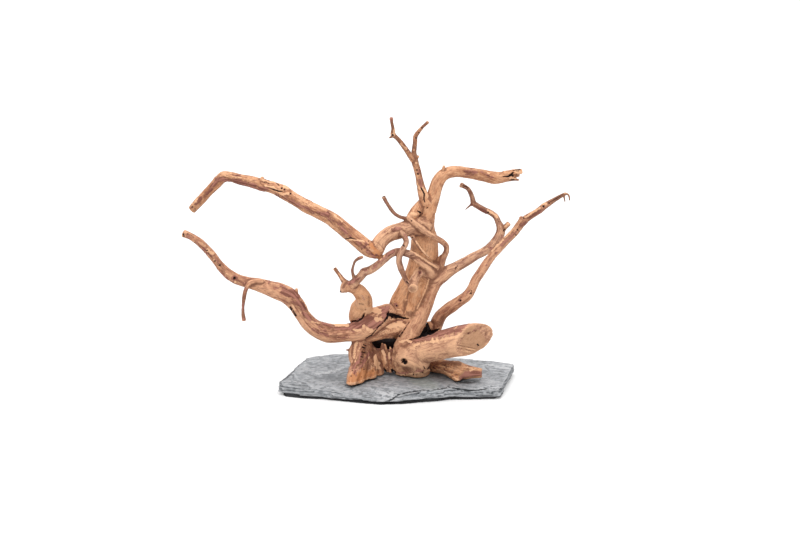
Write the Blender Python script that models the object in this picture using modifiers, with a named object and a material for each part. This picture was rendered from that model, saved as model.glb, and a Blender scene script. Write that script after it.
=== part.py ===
"""Spiderwood root resting on a flat piece of slate.

The root grew as one piece, so it is one solid: every limb is a tapered tube
along its own route, and the limbs are grown together, softened and thinned to
a modest number of faces. The slate is a second solid under its feet.

Frame: metres, +Z up, -Y towards the front. The origin is the middle of the
slate's flat underside. Routes are given in millimetres on a drawing sheet that
leans back with the front view: across, up the sheet, depth behind the middle
plane, and the limb's thickness there.
"""

import math

import bmesh
import bpy
from mathutils import Vector, noise

MM = 0.001

# Drawing sheet: the front view looks down on the piece at this angle.
VIEW_TILT = math.radians(15.0)
VIEW_DISTANCE = 3200.0
SHEET_MIDDLE_ACROSS = 4.0
SHEET_MIDDLE_UP = 133.5
SHEET_FLOOR_UP = 12.7

# Slate.
SLATE_THICK = 13.0
SEAT_GAP = 0.3

# Making of the solids.
ROUTE_STEP = 4.0
TUBE_SIDES_LEVEL = 5
TIP_TURNS = (35, 62, 82)
TIP_REACH = 0.6
GROWN_VOXEL = 0.9
SOFTEN_TIMES = 2
KNOB_HEIGHT = 0.55
KNOB_SPACING = 13.0
ROOT_FACES = 9400
SHARP_ANGLE = math.radians(50.0)

# Limbs: (across, up, depth, thickness) from where each one leaves the wood to its end.
LEFT_BRANCH = [
    (-10, 87, 2, 21), (-22, 81.5, -5, 24), (-32, 75, -12, 23), (-42, 69, -14, 20),
    (-55, 67, -14, 17.5), (-70, 66.5, -14, 19), (-82, 70.5, -16, 18), (-90, 76, -18, 16.5),
    (-97.5, 85, -20, 15), (-103.5, 95, -22, 16), (-112, 104, -24, 18), (-122, 109, -26, 17.5),
    (-132, 112, -28, 15.5), (-142, 115, -30, 13.5), (-152, 117.5, -32, 11), (-162, 120.5, -34, 10.5),
    (-171, 126, -36, 10), (-180, 134.5, -38, 9), (-190, 147.5, -42, 8.5), (-200, 157.5, -46, 7.8),
    (-209, 163.5, -48, 7.2), (-216, 166.5, -50, 7.5),
]
LEFT_TWIG = [
    (-138, 119, -34, 4.5), (-148, 118, -37.5, 5), (-153, 113, -39, 4.5), (-155.2, 107, -39.5, 4),
    (-156.3, 100, -40, 3.4), (-157, 92, -40, 3.2), (-156.8, 85, -40, 3.6), (-156, 80, -40, 4.4),
]
LEFT_BRANCH_SPUR = [(-104, 103, -24, 6), (-103.5, 111.2, -25, 2.6)]
BACK_TRUNK = [
    (-2, 84, 8, 25), (3, 97, 8, 26), (11.5, 112, 8, 27), (19, 128, 8, 27.5),
    (24, 145, 6, 29), (24.5, 160, 5, 27), (24.5, 174, 4, 20), (26.5, 187, 3, 17.5), (28, 197, 2, 16),
]
SHOULDER = [(22, 197, 1, 9), (16.5, 190, -3, 11), (11, 182, -9, 10)]
TOP_STEM = [
    (26, 197, 0, 13), (23, 205, 0, 9.5), (21, 213, 1, 8), (19, 222, 1, 7.4), (17, 231, 2, 7),
    (14.5, 240, 2, 7.2), (14, 248, 3, 5), (15, 257, 3, 4.4), (15.3, 263.5, 4, 5), (19, 269, 4, 4.6),
    (23, 273.5, 5, 4), (28, 278, 6, 3.6),
]
TOP_STEM_LEFT = [
    (13, 240, 1, 6), (9.5, 245.5, -2, 5.6), (5.5, 251, -5, 5.2), (0.5, 258, -8, 4.4),
    (-4, 263, -10, 4.2), (-7, 265.5, -11, 5.4), (-7, 271, -12, 3.8), (-8.2, 277, -14, 3.2),
    (-8.7, 281.5, -15, 3.6),
]
RIGHT_ARM = [
    (29, 190, 2, 15), (32.5, 200, 3, 13.5), (35, 210, 5, 13), (38, 218, 8, 13), (43, 224.5, 10, 12.5),
    (49, 227.5, 13, 12), (56, 228.4, 16, 11.5), (65, 227.4, 20, 11.3), (75, 226, 25, 11.5),
    (85, 224.2, 30, 12), (95, 222, 34, 12.3), (103, 222.5, 38, 11.5), (111, 224.2, 41, 10.8),
    (118, 226, 43, 10), (122, 227, 45, 9),
]
RIGHT_ARM_SPUR = [(43, 228, 9, 6), (45, 235, 8, 2.6)]
LEFT_LIMB = [
    (24, 174, 0, 20), (14, 174, -8, 18), (4, 170.5, -16, 16.5), (-6, 167.5, -24, 15.5),
    (-14, 163.5, -30, 15), (-20, 157.5, -34, 15), (-23, 150.5, -35, 15), (-24, 145, -35, 12),
]
UPPER_LEFT_ARM = [
    (-22.5, 148, -36, 14.5), (-30, 150.5, -36, 16), (-40, 158, -33, 15), (-50, 166, -29, 14.5),
    (-60, 174, -24, 14.5), (-70, 182, -19, 14), (-80, 187, -13, 12.8), (-90, 192, -7, 13),
    (-100, 197.5, -1, 13), (-110, 203.5, 5, 12.8), (-119, 209, 10, 13.5), (-130, 213, 16, 11.5),
    (-140, 216, 22, 11.5), (-150, 219, 27, 11.3), (-160, 221, 32, 10.5), (-170, 223.3, 37, 10.4),
    (-177, 222.7, 40, 11), (-187, 213, 42, 10), (-196.5, 203, 43, 9.5), (-207, 191.5, 44, 8.6),
]
UPPER_LEFT_NUB = [(-138, 217, 20, 7), (-138, 223.5, 19, 4)]
CURL_TWIG = [
    (11, 180, -12, 5), (5, 181.7, -15, 3.8), (0, 183, -18, 3.4), (-5, 186, -20, 3.3),
    (-9, 190.5, -21, 3.3), (-13, 196.5, -21, 3.3), (-16.5, 203, -20, 3.6),
]
FRONT_LOOP = [
    (8, 183, -16, 5), (14, 177, -17, 6), (21, 171.5, -14, 7), (28, 166.5, -12, 6), (35, 162.5, -10, 6),
    (41, 159.2, -8, 6), (46, 154.5, -6, 6), (46.3, 149, -5, 6), (43.7, 143, -4, 6),
    (42, 137, -3, 6.5), (40, 131, -2, 8),
]
LOOP_WEB = [(42, 144.5, -2, 4), (40.5, 139, -1, 8), (39, 132, 0, 9)]
NEEDLE_TWIG = [
    (11.5, 164, -18, 4), (15, 159.5, -21, 2.8), (18.5, 153.5, -23, 2.8), (23.5, 148, -24, 2.6),
    (29, 142.5, -24, 2.4),
]
ANTLER = [
    (40, 130, -4, 12), (31, 133, -14, 9.5), (23, 138, -20, 8), (15, 143, -26, 7.6), (7, 146.8, -31, 7.2),
    (-2, 148.4, -35, 7), (-9, 146, -38, 7.4), (-16, 140.5, -40, 7.6), (-23, 134.5, -41, 8),
    (-30, 129.7, -40, 8.2), (-35.5, 128, -39, 8.4), (-40.5, 122.5, -38, 8.4), (-46, 117, -37, 9.5),
    (-52, 112.5, -37, 9.5), (-56.5, 109.7, -38, 6), (-59.5, 108.4, -38, 3),
]
PRONG = [
    (-51, 115, -36, 8), (-56, 119, -34, 5.6), (-60, 124.5, -31, 4.2), (-63, 128.5, -28, 3.8),
    (-65, 131.2, -26, 4),
]
PRONG_WEB = [(-55, 118, -35, 5), (-57.5, 113.5, -37, 4.6), (-58, 109.5, -38, 4)]
WISP_TWIG = [
    (-45.5, 121, -38, 4.5), (-46.7, 124.5, -40, 3.6), (-47.7, 129, -41, 3.2), (-46.7, 134, -42, 3),
    (-45, 138.7, -43, 3), (-41.7, 141.3, -43.5, 3), (-37.5, 143, -44, 2.6),
]
RISING_STUB = [
    (-40, 80, 2, 22), (-40, 84, 2, 23.5), (-38.5, 91, -6, 22.5), (-36, 97, -14, 17), (-37, 103, -22, 15.5),
    (-40.5, 108.5, -29, 14.5), (-46, 112, -33, 12), (-51, 112.5, -37, 9.5),
]
HOOK_TWIG = [
    (-1, 169, -26, 6), (3.5, 164.5, -29, 5.8), (6.3, 159, -33, 5.4), (4.5, 153.5, -36.5, 5.4),
    (1, 147.5, -39, 5.8), (-1, 141, -40, 6), (0, 134, -39, 6), (3, 126.5, -38, 5.4),
    (6.5, 119.5, -38, 5), (10, 115, -40, 5),
]
FORWARD_STUB = [
    (32, 127, -6, 12), (26, 128.5, -14, 10.5), (20.5, 128.5, -22, 9.5), (16, 123, -29, 8.5),
    (12.5, 116.5, -36, 9), (11.3, 111, -42, 9.5),
]
FRONT_TRUNK = [
    (4, 52, -10, 22), (8, 62, -10, 19), (13, 72, -8, 18), (19, 82, -6, 18), (23.5, 92, -5, 17),
    (27, 102, -4, 16.5), (31, 112, -3, 16.5), (36, 121, -1, 17), (43, 127.5, 1, 14),
]
TRUNK_WEB = [
    (8, 66, 0, 18), (12, 84, 2, 19), (18, 100, 3, 19), (24, 116, 4, 20), (30, 130, 4, 20),
]
RIGHT_LIMB = [
    (36, 121, -1, 17), (47, 128, 2, 13.5), (57, 133.5, 6, 11), (67, 139.2, 10, 9.6), (77, 144.8, 14, 8.7),
    (87, 150.2, 18, 8.4), (94, 156.5, 21, 9.2), (99, 164, 23, 9.4), (100.5, 171, 25, 9),
    (98, 178, 27, 6.4), (95.5, 183.5, 28, 6.2), (90, 187.7, 30, 6.4), (84, 190.3, 31, 6),
    (78, 193.6, 32, 5.8), (73.5, 196.7, 33, 6.2), (72.5, 201.5, 33, 5), (70.7, 206.5, 34, 4.8),
    (68, 211.2, 34, 4.6), (64.5, 213.4, 34, 4.4), (61.3, 215, 33, 4.8),
]
RIGHT_LIMB_STUB = [(102, 170.5, 25, 6.5), (105.5, 173.5, 23, 4.6), (108.3, 176.2, 22, 4.6)]
RIGHT_LIMB_SPUR = [(72, 196, 33, 3.2), (68.5, 193.2, 33, 2), (65.3, 190.2, 33, 1.6)]
RIGHT_BRANCH = [
    (16, 54, 6, 16), (26, 61, 12, 15), (33, 68, 14, 14), (36, 75, 12, 13.5), (39, 81.5, 9, 13),
    (44, 88, 6, 12), (52, 93.7, 3, 11.6), (60, 99.2, 0, 11.2), (67.5, 104.7, -3, 11),
    (72, 111.5, -5, 9.8), (75.5, 120, -7, 9.4), (81, 128.2, -8, 9.2), (87, 137.2, -9, 9),
    (93, 145, -10, 8.6), (100, 153, -12, 8.4), (107, 160.2, -15, 8), (114, 167.2, -18, 8),
    (119, 174, -21, 8.2), (123, 178.7, -24, 8), (130, 183.7, -28, 6.8), (138, 189, -33, 6.5),
    (145, 194.2, -38, 6.2), (153, 199.2, -43, 4.8), (160, 203.4, -48, 3.8), (166, 206, -52, 3),
]
RIGHT_BRANCH_BUMP = [(121, 178, -23, 6), (121, 183, -23, 3)]
RIGHT_TIP_ROOTLET = [(164, 205, -51, 2.4), (168.5, 203.5, -53, 1.8), (169, 199.5, -54, 1.6)]
BIG_LOG = [
    (0, 52, -8, 19), (8, 48, -12, 23), (20, 49.5, -18, 26), (33, 52.5, -23, 28), (47, 56.2, -27, 29.5),
    (60, 59, -31, 31), (74, 61, -34, 31.5), (92, 61.5, -37, 29.5), (112, 64, -42, 28),
]
BAR = [(-34, 61, -10, 8), (-24, 65, -8, 12), (-14, 69.5, -6, 15), (-3, 72.5, -5, 15.5), (9, 74, -5, 13)]
CROTCH_WEB = [(16, 60, 2, 15), (22, 66, 5, 12), (27, 71, 6, 10), (30, 76, 7, 8)]
CAVITY_BACK = [(-38, 60, 12, 18), (-24, 56, 18, 20), (-10, 55, 20, 22), (4, 58, 18, 22)]
BASE_KNOB = [(4, 54, -8, 20), (3, 44, -6, 25), (4, 37, 0, 26), (8, 31, 6, 28), (11, 24, 12, 30)]
BASE_LIP = [(16, 44, -8, 22), (19, 34, 0, 24), (20, 28, 7, 24), (20, 20, 12, 24)]
FOOT_BRIDGE = [(-24, 45, 0, 14), (-12, 43, 2, 15), (0, 42, 4, 18)]
FOOT_FOLD_LEFT = [(-17, 48, -3, 9), (-14, 40, -5, 9), (-13, 33, -5, 8), (-13, 29.5, -5, 5)]
FOOT_FOLD_RIGHT = [(-8, 49, -6, 8), (-7.5, 42, -8, 10), (-8, 35, -7, 9), (-10, 29, -6, 5)]
LEFT_TOE_OUTER = [
    (-42, 66, -10, 15), (-43, 56, -13, 15), (-43.5, 46, -17, 14), (-44, 36, -22, 14), (-46, 27, -29, 15),
    (-47, 19, -35, 12.5), (-48, 12, -39, 10),
]
LEFT_TOE_MIDDLE = [
    (-36, 60, -6, 16), (-35, 48, -6, 16), (-35, 38, -9, 18), (-36, 28, -14, 18), (-38, 20, -20, 16),
    (-39, 12, -24, 15),
]
LEFT_TOE_INNER = [(-31, 50, 0, 13), (-27, 44, 0, 15), (-24, 36, 1, 16), (-23, 28, -1, 16), (-23, 20, -3, 15)]
LEFT_TOE_WEBS = [
    [(-40, 42, -16, 14), (-42, 30, -23, 15), (-43, 18, -31, 14), (-44, 10, -35, 12)],
    [(-29, 42, -4, 14), (-30, 30, -8, 15), (-31, 18, -14, 14), (-32, 10, -18, 12)],
]
LEFT_TOE_SPUR = [(-48, 50.5, -17, 4), (-54, 50, -17, 1.8)]
RIGHT_FOOT = [
    (20, 38, 8, 16), (32, 35, 6, 15), (42, 33.5, -2, 15), (50, 31.5, -10, 17), (57, 29.5, -17, 20),
    (64, 28.5, -19, 17), (72, 28, -20, 12.5), (81, 27, -21, 8.5),
]
RIGHT_FOOT_POINT = [(53, 35, -12, 11), (57, 26, -21, 10), (58.5, 18, -26, 7)]
BACK_FOOT = [(2, 76, 12, 20), (4, 60, 26, 20), (7, 48, 40, 19), (9, 34, 54, 17)]

ROUND_LIMBS = [
    LEFT_BRANCH, LEFT_TWIG, LEFT_BRANCH_SPUR, BACK_TRUNK, SHOULDER, TOP_STEM, TOP_STEM_LEFT, RIGHT_ARM,
    RIGHT_ARM_SPUR, LEFT_LIMB, UPPER_LEFT_ARM, UPPER_LEFT_NUB, CURL_TWIG, FRONT_LOOP, LOOP_WEB,
    NEEDLE_TWIG, ANTLER, PRONG, PRONG_WEB, WISP_TWIG, RISING_STUB, HOOK_TWIG, FORWARD_STUB,
    FRONT_TRUNK, TRUNK_WEB, RIGHT_LIMB, RIGHT_LIMB_STUB, RIGHT_LIMB_SPUR, RIGHT_BRANCH,
    RIGHT_BRANCH_BUMP, RIGHT_TIP_ROOTLET, BAR, CROTCH_WEB, CAVITY_BACK, BASE_KNOB, BASE_LIP,
    FOOT_BRIDGE, FOOT_FOLD_LEFT, FOOT_FOLD_RIGHT, LEFT_TOE_OUTER, LEFT_TOE_MIDDLE, LEFT_TOE_INNER,
    *LEFT_TOE_WEBS, LEFT_TOE_SPUR, RIGHT_FOOT, RIGHT_FOOT_POINT, BACK_FOOT,
]

# The big log's end is sawn at a slant: a point on the cut, and the way it faces.
LOG_CUT_POINT = (72.5, 60, -35)
LOG_CUT_FACING = (0.52, -0.84, -0.12)

# Pits and hollows pressed into the wood: (across, up, depth, width, deepness).
# A pit fades as exp(-PIT_FADE * share ** 2) and ends at PIT_REACH half widths.
HOLLOWS = [
    (4, 38.5, -19.3, 6, 5.5), (20.5, 127, -26.7, 5, 2.5), (-105, 88, -25.5, 5, 3), (24, 188, -4.5, 6, 2),
    (-124, 209, 6, 6, 2), (-34, 156, -39, 8, 2.5),
]
PIT_FADE = 1.6
PIT_REACH = 2.0

# Slate outline in plan, clockwise from the left corner: the edge of the top face,
# the edge of the underside below it, and the height of the edge there.
SLATE_EDGE = [
    ((-116.4, -22), (-117.5, -31), 12.0),
    ((-108.6, 0), (-111, 0), 12.6),
    ((-98.5, 36), (-100.5, 36), 12.4),
    ((-92, 57), (-93.5, 59), 12.2),
    ((-81, 66), (-82, 69), 12.4),
    ((-61.3, 72.5), (-62, 75), 12.6),
    ((-47.2, 73), (-47, 76), 12.4),
    ((-15, 70), (-15, 73), 12.6),
    ((20, 65), (20, 68), 12.2),
    ((66, 56), (68, 59), 12.4),
    ((93.6, 50.4), (96, 53), 12.0),
    ((119.5, 38.5), (120.5, 40), 11.6),
    ((115, 12), (117.5, 27), 11.4),
    ((110, -14), (113.5, 0), 11.0),
    ((104, -38), (109.5, -24), 10.4),
    ((101.5, -43), (103.5, -44.6), 10.2),
    ((84, -43), (83.6, -46.5), 9.6),
    ((60, -45), (58.7, -48), 12.2),
    ((42, -50), (43.7, -55), 12.6),
    ((24, -54), (23.8, -60), 11.0),
    ((4, -58), (4, -65), 7.0),
    ((-15, -59), (-16, -66.5), 5.2),
    ((-36, -55), (-35.6, -61.4), 6.6),
    ((-56, -48), (-55.6, -55), 8.0),
    ((-76, -41), (-75.6, -46.8), 9.2),
    ((-98, -34), (-96, -43.4), 10.8),
    ((-112, -28), (-113.5, -37), 11.8),
]

# Layers of the slate that split away: (x, y, facing angle in degrees, drop).
SLATE_STEPS = [(-40, -48, 252, 1.6), (-96, -14, 205, 1.1), (62, -44, 290, 1.2), (88, 30, 20, 0.8)]

# How those layers' edges wander, (swing, turns for each millimetre, side), and how steep they are.
STEP_WAVES = [(2.2, 0.09, -1.0), (1.2, 0.23, 1.0)]
STEP_WIDTH = 1.5

# The slate's loft: middle of its rings, pieces for each side of its edge, chips,
# swell of the split side, rings inwards as shares of the way out, and how far
# in the top's edge stays low.
SLATE_MIDDLE = (2.0, 0.0)
EDGE_PIECES = 4
CHIP_DEPTH = 0.9
WAIST_SWELL = 1.004
RING_SHARES = (0.955, 0.89, 0.80, 0.68, 0.54, 0.40, 0.26, 0.13)
EDGE_FALL = 0.30


def sheet_point(across, up, depth):
    """World position in metres of a point drawn on the leaning sheet."""
    tilt_sin = math.sin(VIEW_TILT)
    tilt_cos = math.cos(VIEW_TILT)
    middle_z = (SHEET_MIDDLE_UP - SHEET_FLOOR_UP) / tilt_cos
    rise = up - SHEET_MIDDLE_UP
    nearer = 1.0 + depth * tilt_cos / VIEW_DISTANCE
    height = (rise * nearer - depth * tilt_sin) / (tilt_cos + rise * tilt_sin / VIEW_DISTANCE)
    away = depth * tilt_cos - height * tilt_sin
    x = SHEET_MIDDLE_ACROSS + across * (1.0 + away / VIEW_DISTANCE)
    return Vector((x, depth, middle_z + height)) * MM


def smooth_route(route):
    """Points along a Catmull-Rom curve through the route, each (position, radius)."""
    knots = [(sheet_point(a, u, d), 0.5 * t * MM) for a, u, d, t in route]
    knots = [knots[0]] + knots + [knots[-1]]
    points = []
    for before, start, end, after in zip(knots, knots[1:], knots[2:], knots[3:]):
        steps = max(2, round((end[0] - start[0]).length / (ROUTE_STEP * MM)))
        for step in range(steps):
            points.append(between_knots(before, start, end, after, step / steps))
    points.append(knots[-1])
    return points


def between_knots(before, start, end, after, t):
    """Position and radius at share t of the way from one knot to the next."""
    weights = (
        -0.5 * t + t * t - 0.5 * t ** 3,
        1.0 - 2.5 * t * t + 1.5 * t ** 3,
        0.5 * t + 2.0 * t * t - 1.5 * t ** 3,
        -0.5 * t * t + 0.5 * t ** 3,
    )
    knots = (before, start, end, after)
    place = sum((w * k[0] for w, k in zip(weights, knots)), Vector())
    radius = start[1] * (1.0 - t) + end[1] * t
    return place, radius


def round_tips(points):
    """Close both ends of a route with a half-round taper."""
    head = rounded_end(points[0], points[1])
    tail = rounded_end(points[-1], points[-2])
    return list(reversed(head)) + points + tail


def rounded_end(tip, inner):
    """Extra points past a tip that shrink along a flattened quarter circle."""
    outward = (tip[0] - inner[0]).normalized()
    extra = []
    for turn in TIP_TURNS:
        angle = math.radians(turn)
        reach = TIP_REACH * tip[1] * math.sin(angle)
        extra.append((tip[0] + outward * reach, tip[1] * math.cos(angle)))
    return extra


def mesh_from_curve(name, points):
    """Tapered tube along the points, as a closed mesh object."""
    curve = bpy.data.curves.new(name, "CURVE")
    curve.dimensions = "3D"
    curve.twist_mode = "MINIMUM"
    curve.bevel_depth = MM
    curve.bevel_resolution = TUBE_SIDES_LEVEL
    curve.use_fill_caps = True
    spline = curve.splines.new("POLY")
    spline.points.add(len(points) - 1)
    for knot, (place, radius) in zip(spline.points, points):
        knot.co = (*place, 1.0)
        knot.radius = radius / MM
    tube = bpy.data.objects.new(name, curve)
    bpy.context.scene.collection.objects.link(tube)
    graph = bpy.context.evaluated_depsgraph_get()
    mesh = bpy.data.meshes.new_from_object(tube.evaluated_get(graph))
    bpy.data.objects.remove(tube)
    bpy.data.curves.remove(curve)
    weld(mesh)
    return mesh


def weld(mesh):
    """Join a mesh's loose caps to its sides and point its faces outwards."""
    work = bmesh.new()
    work.from_mesh(mesh)
    bmesh.ops.remove_doubles(work, verts=work.verts, dist=0.00001)
    bmesh.ops.recalc_face_normals(work, faces=work.faces)
    work.to_mesh(mesh)
    work.free()


def limb_mesh(route):
    """Closed mesh of one limb with rounded ends."""
    return mesh_from_curve("limb", round_tips(smooth_route(route)))


def sawn_log_mesh():
    """The big log, with its outer end sawn off at a slant."""
    mesh = mesh_from_curve("big_log", smooth_route(BIG_LOG))
    cut_flat(mesh, sheet_point(*LOG_CUT_POINT), Vector(LOG_CUT_FACING).normalized())
    return mesh


def cut_flat(mesh, point, facing):
    """Remove what lies in front of a plane and close the cut."""
    work = bmesh.new()
    work.from_mesh(mesh)
    cut = bmesh.ops.bisect_plane(
        work, geom=work.verts[:] + work.edges[:] + work.faces[:],
        plane_co=point, plane_no=facing, clear_outer=True,
    )
    rim = [item for item in cut["geom_cut"] if isinstance(item, bmesh.types.BMEdge)]
    bmesh.ops.holes_fill(work, edges=rim, sides=0)
    bmesh.ops.recalc_face_normals(work, faces=work.faces)
    bmesh.ops.triangulate(work, faces=[face for face in work.faces if len(face.verts) > 4])
    work.to_mesh(mesh)
    work.free()


def join_meshes(name, meshes):
    """One object that holds every mesh."""
    work = bmesh.new()
    for mesh in meshes:
        work.from_mesh(mesh)
        bpy.data.meshes.remove(mesh)
    joined = bpy.data.meshes.new(name)
    work.to_mesh(joined)
    work.free()
    return bpy.data.objects.new(name, joined)


def apply_modifier(piece, kind, **settings):
    """Add one modifier with its settings and make its result the object's mesh."""
    modifier = piece.modifiers.new(kind.lower(), kind)
    for key, value in settings.items():
        setattr(modifier, key, value)
    graph = bpy.context.evaluated_depsgraph_get()
    graph.update()
    mesh = bpy.data.meshes.new_from_object(piece.evaluated_get(graph))
    piece.modifiers.clear()
    old = piece.data
    piece.data = mesh
    bpy.data.meshes.remove(old)


def gnarl(mesh):
    """Raise soft knobs over the wood and press its hollows in."""
    work = bmesh.new()
    work.from_mesh(mesh)
    work.normal_update()
    spacing = 1.0 / (KNOB_SPACING * MM)
    pits = [(sheet_point(a, u, d), 0.5 * width * MM, deep * MM) for a, u, d, width, deep in HOLLOWS]
    moves = []
    for vert in work.verts:
        lift = KNOB_HEIGHT * MM * noise.noise(vert.co * spacing)
        for middle, reach, deep in pits:
            away = (vert.co - middle).length / reach
            if away < PIT_REACH:
                lift -= deep * math.exp(-PIT_FADE * away * away)
        moves.append(vert.normal * lift)
    for vert, move in zip(work.verts, moves):
        vert.co += move
    work.to_mesh(mesh)
    work.free()


def largest_body(mesh):
    """Keep only the largest connected body of a mesh."""
    work = bmesh.new()
    work.from_mesh(mesh)
    unseen = set(work.verts)
    bodies = []
    while unseen:
        seed = unseen.pop()
        body = {seed}
        edge_of_body = [seed]
        while edge_of_body:
            vert = edge_of_body.pop()
            for edge in vert.link_edges:
                other = edge.other_vert(vert)
                if other in unseen:
                    unseen.remove(other)
                    body.add(other)
                    edge_of_body.append(other)
        bodies.append(body)
    bodies.sort(key=len, reverse=True)
    scraps = [vert for body in bodies[1:] for vert in body]
    bmesh.ops.delete(work, geom=scraps, context="VERTS")
    work.to_mesh(mesh)
    work.free()


def build_root(collection):
    """The whole root as one closed solid that stands on flat spots."""
    root = join_meshes("spiderwood_root", [limb_mesh(route) for route in ROUND_LIMBS] + [sawn_log_mesh()])
    collection.objects.link(root)
    apply_modifier(root, "REMESH", mode="VOXEL", voxel_size=GROWN_VOXEL * MM)
    largest_body(root.data)
    apply_modifier(root, "SMOOTH", factor=0.5, iterations=SOFTEN_TIMES)
    gnarl(root.data)
    apply_modifier(root, "TRIANGULATE")
    share = ROOT_FACES / len(root.data.polygons)
    apply_modifier(root, "DECIMATE", ratio=share, use_collapse_triangulate=True)
    seat = Vector((0.0, 0.0, (SLATE_THICK + SEAT_GAP) * MM))
    cut_flat(root.data, seat, Vector((0.0, 0.0, -1.0)))
    root.data.shade_smooth()
    root.data.set_sharp_from_angle(angle=SHARP_ANGLE)
    root.data.materials.append(make_material("weathered_wood", (0.60, 0.36, 0.21), 0.72))
    return root


def slate_top(x, y):
    """Height of the slate's top at a place inside its edge, in millimetres."""
    height = SLATE_THICK
    for step_x, step_y, facing, drop in SLATE_STEPS:
        angle = math.radians(facing)
        past = (x - step_x) * math.cos(angle) + (y - step_y) * math.sin(angle)
        for swing, turns, side in STEP_WAVES:
            past += swing * math.sin(turns * (x + side * y))
        if past > 0.0:
            height -= drop * min(1.0, past / STEP_WIDTH)
    return height


def slate_rings():
    """Rings of points from the underside's edge, over the top's edge, to the middle."""
    middle = Vector(SLATE_MIDDLE)
    edge = split_edge(SLATE_EDGE, EDGE_PIECES)
    under = [(*low, 0.0) for top, low, height in edge]
    waist = [(*(0.5 * (Vector(top) + Vector(low)) * WAIST_SWELL), 0.5 * height) for top, low, height in edge]
    rim = [(*top, height) for top, low, height in edge]
    rings = [under, waist, rim]
    for share in RING_SHARES:
        ring = []
        for top, low, height in edge:
            place = middle + (Vector(top) - middle) * share
            drop = (SLATE_THICK - height) * max(0.0, 1.0 - (1.0 - share) / EDGE_FALL)
            ring.append((*place, min(slate_top(*place), SLATE_THICK - drop)))
        rings.append(ring)
    return rings, (middle.x, middle.y, SLATE_THICK)


def split_edge(edge, pieces):
    """The slate's edge with each side split into a few, a little out of line."""
    result = []
    for index, (top, low, height) in enumerate(edge):
        next_top, next_low, next_height = edge[(index + 1) % len(edge)]
        for piece in range(pieces):
            share = piece / pieces
            chip = CHIP_DEPTH * noise.noise(Vector((index * 1.7, piece * 2.3, 0.5))) if piece else 0.0
            place = Vector(top).lerp(Vector(next_top), share)
            place += place.normalized() * chip
            base = Vector(low).lerp(Vector(next_low), share)
            result.append((place, base, height + (next_height - height) * share))
    return result


def build_slate(collection):
    """The slate: a flat underside, split edges and a top with a few broken layers."""
    rings, middle = slate_rings()
    work = bmesh.new()
    rows = [[work.verts.new(Vector(point) * MM) for point in ring] for ring in rings]
    count = len(rows[0])
    for lower, upper in zip(rows, rows[1:]):
        for index in range(count):
            following = (index + 1) % count
            work.faces.new((lower[index], lower[following], upper[following], upper[index]))
    hub = work.verts.new(Vector(middle) * MM)
    foot = work.verts.new(Vector((middle[0], middle[1], 0.0)) * MM)
    for index in range(count):
        following = (index + 1) % count
        work.faces.new((rows[-1][index], rows[-1][following], hub))
        work.faces.new((rows[0][following], rows[0][index], foot))
    bmesh.ops.recalc_face_normals(work, faces=work.faces)
    bmesh.ops.triangulate(work, faces=work.faces)
    mesh = bpy.data.meshes.new("slate_base")
    work.to_mesh(mesh)
    work.free()
    slate = bpy.data.objects.new("slate_base", mesh)
    collection.objects.link(slate)
    mesh.materials.append(make_material("grey_slate", (0.34, 0.37, 0.40), 0.8))
    return slate


def make_material(name, colour, roughness):
    """Plain Principled material of one colour."""
    material = bpy.data.materials.new(name)
    material.use_nodes = True
    shader = material.node_tree.nodes["Principled BSDF"]
    shader.inputs["Base Color"].default_value = (*colour, 1.0)
    shader.inputs["Roughness"].default_value = roughness
    shader.inputs["Metallic"].default_value = 0.0
    return material


def main():
    """Clear the file and build both solids in their own collection."""
    for thing in list(bpy.data.objects):
        bpy.data.objects.remove(thing)
    collection = bpy.data.collections.new("spiderwood_root_on_slate")
    bpy.context.scene.collection.children.link(collection)
    build_root(collection)
    build_slate(collection)


main()
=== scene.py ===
"""Spiderwood root resting on a slate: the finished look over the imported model.

The root is grown again from much the same limbs as the solid, finer, with the
ridges, cracks, knots, bark and torn ends that weathered wood has. The slate gets
its split layers. Lengths in tables are millimetres, and the scene is in metres.
"""
import itertools
import logging
import math
import time
from collections.abc import Iterator
from contextlib import contextmanager
from dataclasses import dataclass, field
from enum import Enum

import bmesh
import bpy
import numpy as np
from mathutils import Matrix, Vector, noise


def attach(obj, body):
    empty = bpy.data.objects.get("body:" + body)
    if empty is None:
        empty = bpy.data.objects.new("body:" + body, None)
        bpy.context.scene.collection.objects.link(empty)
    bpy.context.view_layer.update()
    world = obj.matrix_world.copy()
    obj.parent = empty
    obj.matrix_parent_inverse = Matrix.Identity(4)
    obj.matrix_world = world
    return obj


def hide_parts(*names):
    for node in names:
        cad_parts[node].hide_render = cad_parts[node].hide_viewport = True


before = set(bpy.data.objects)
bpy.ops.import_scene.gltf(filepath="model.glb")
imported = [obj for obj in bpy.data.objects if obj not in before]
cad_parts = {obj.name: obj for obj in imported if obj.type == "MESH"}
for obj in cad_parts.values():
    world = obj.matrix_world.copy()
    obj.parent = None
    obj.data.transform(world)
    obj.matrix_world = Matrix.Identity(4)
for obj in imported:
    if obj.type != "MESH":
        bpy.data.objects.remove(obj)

LOG = logging.getLogger("root_on_slate")
MM = 0.001
BODY = "root"
FAR = 1e6

Triple = tuple[float, float, float]
Route = tuple[tuple[float, float, float, float], ...]
Stroke = tuple[Triple, ...]
Wire = bpy.types.NodeSocket | float | tuple


class Tone(Enum):
    """Tones of plain wood that a limb can have."""

    TAN = 0
    ROSY = 1
    GOLDEN = 2
    PALE = 3
    GREY = 4


class Marking(Enum):
    """Places on the wood that look different from plain wood."""

    BARK = 0
    # Near-black painted shade in cracks, holes, the cavity, gaps between limbs and under the feet.
    DARK = 1
    FLECK = 2
    CUT = 3
    RUST = 4
    BROWN = 5


class StoneMarking(Enum):
    """Places on the slate that look different from plain slate."""

    CRACK_AND_SHADOW = 0
    CHIP = 1
    PAINTED_SHADE = 2
    OLIVE = 3


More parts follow.
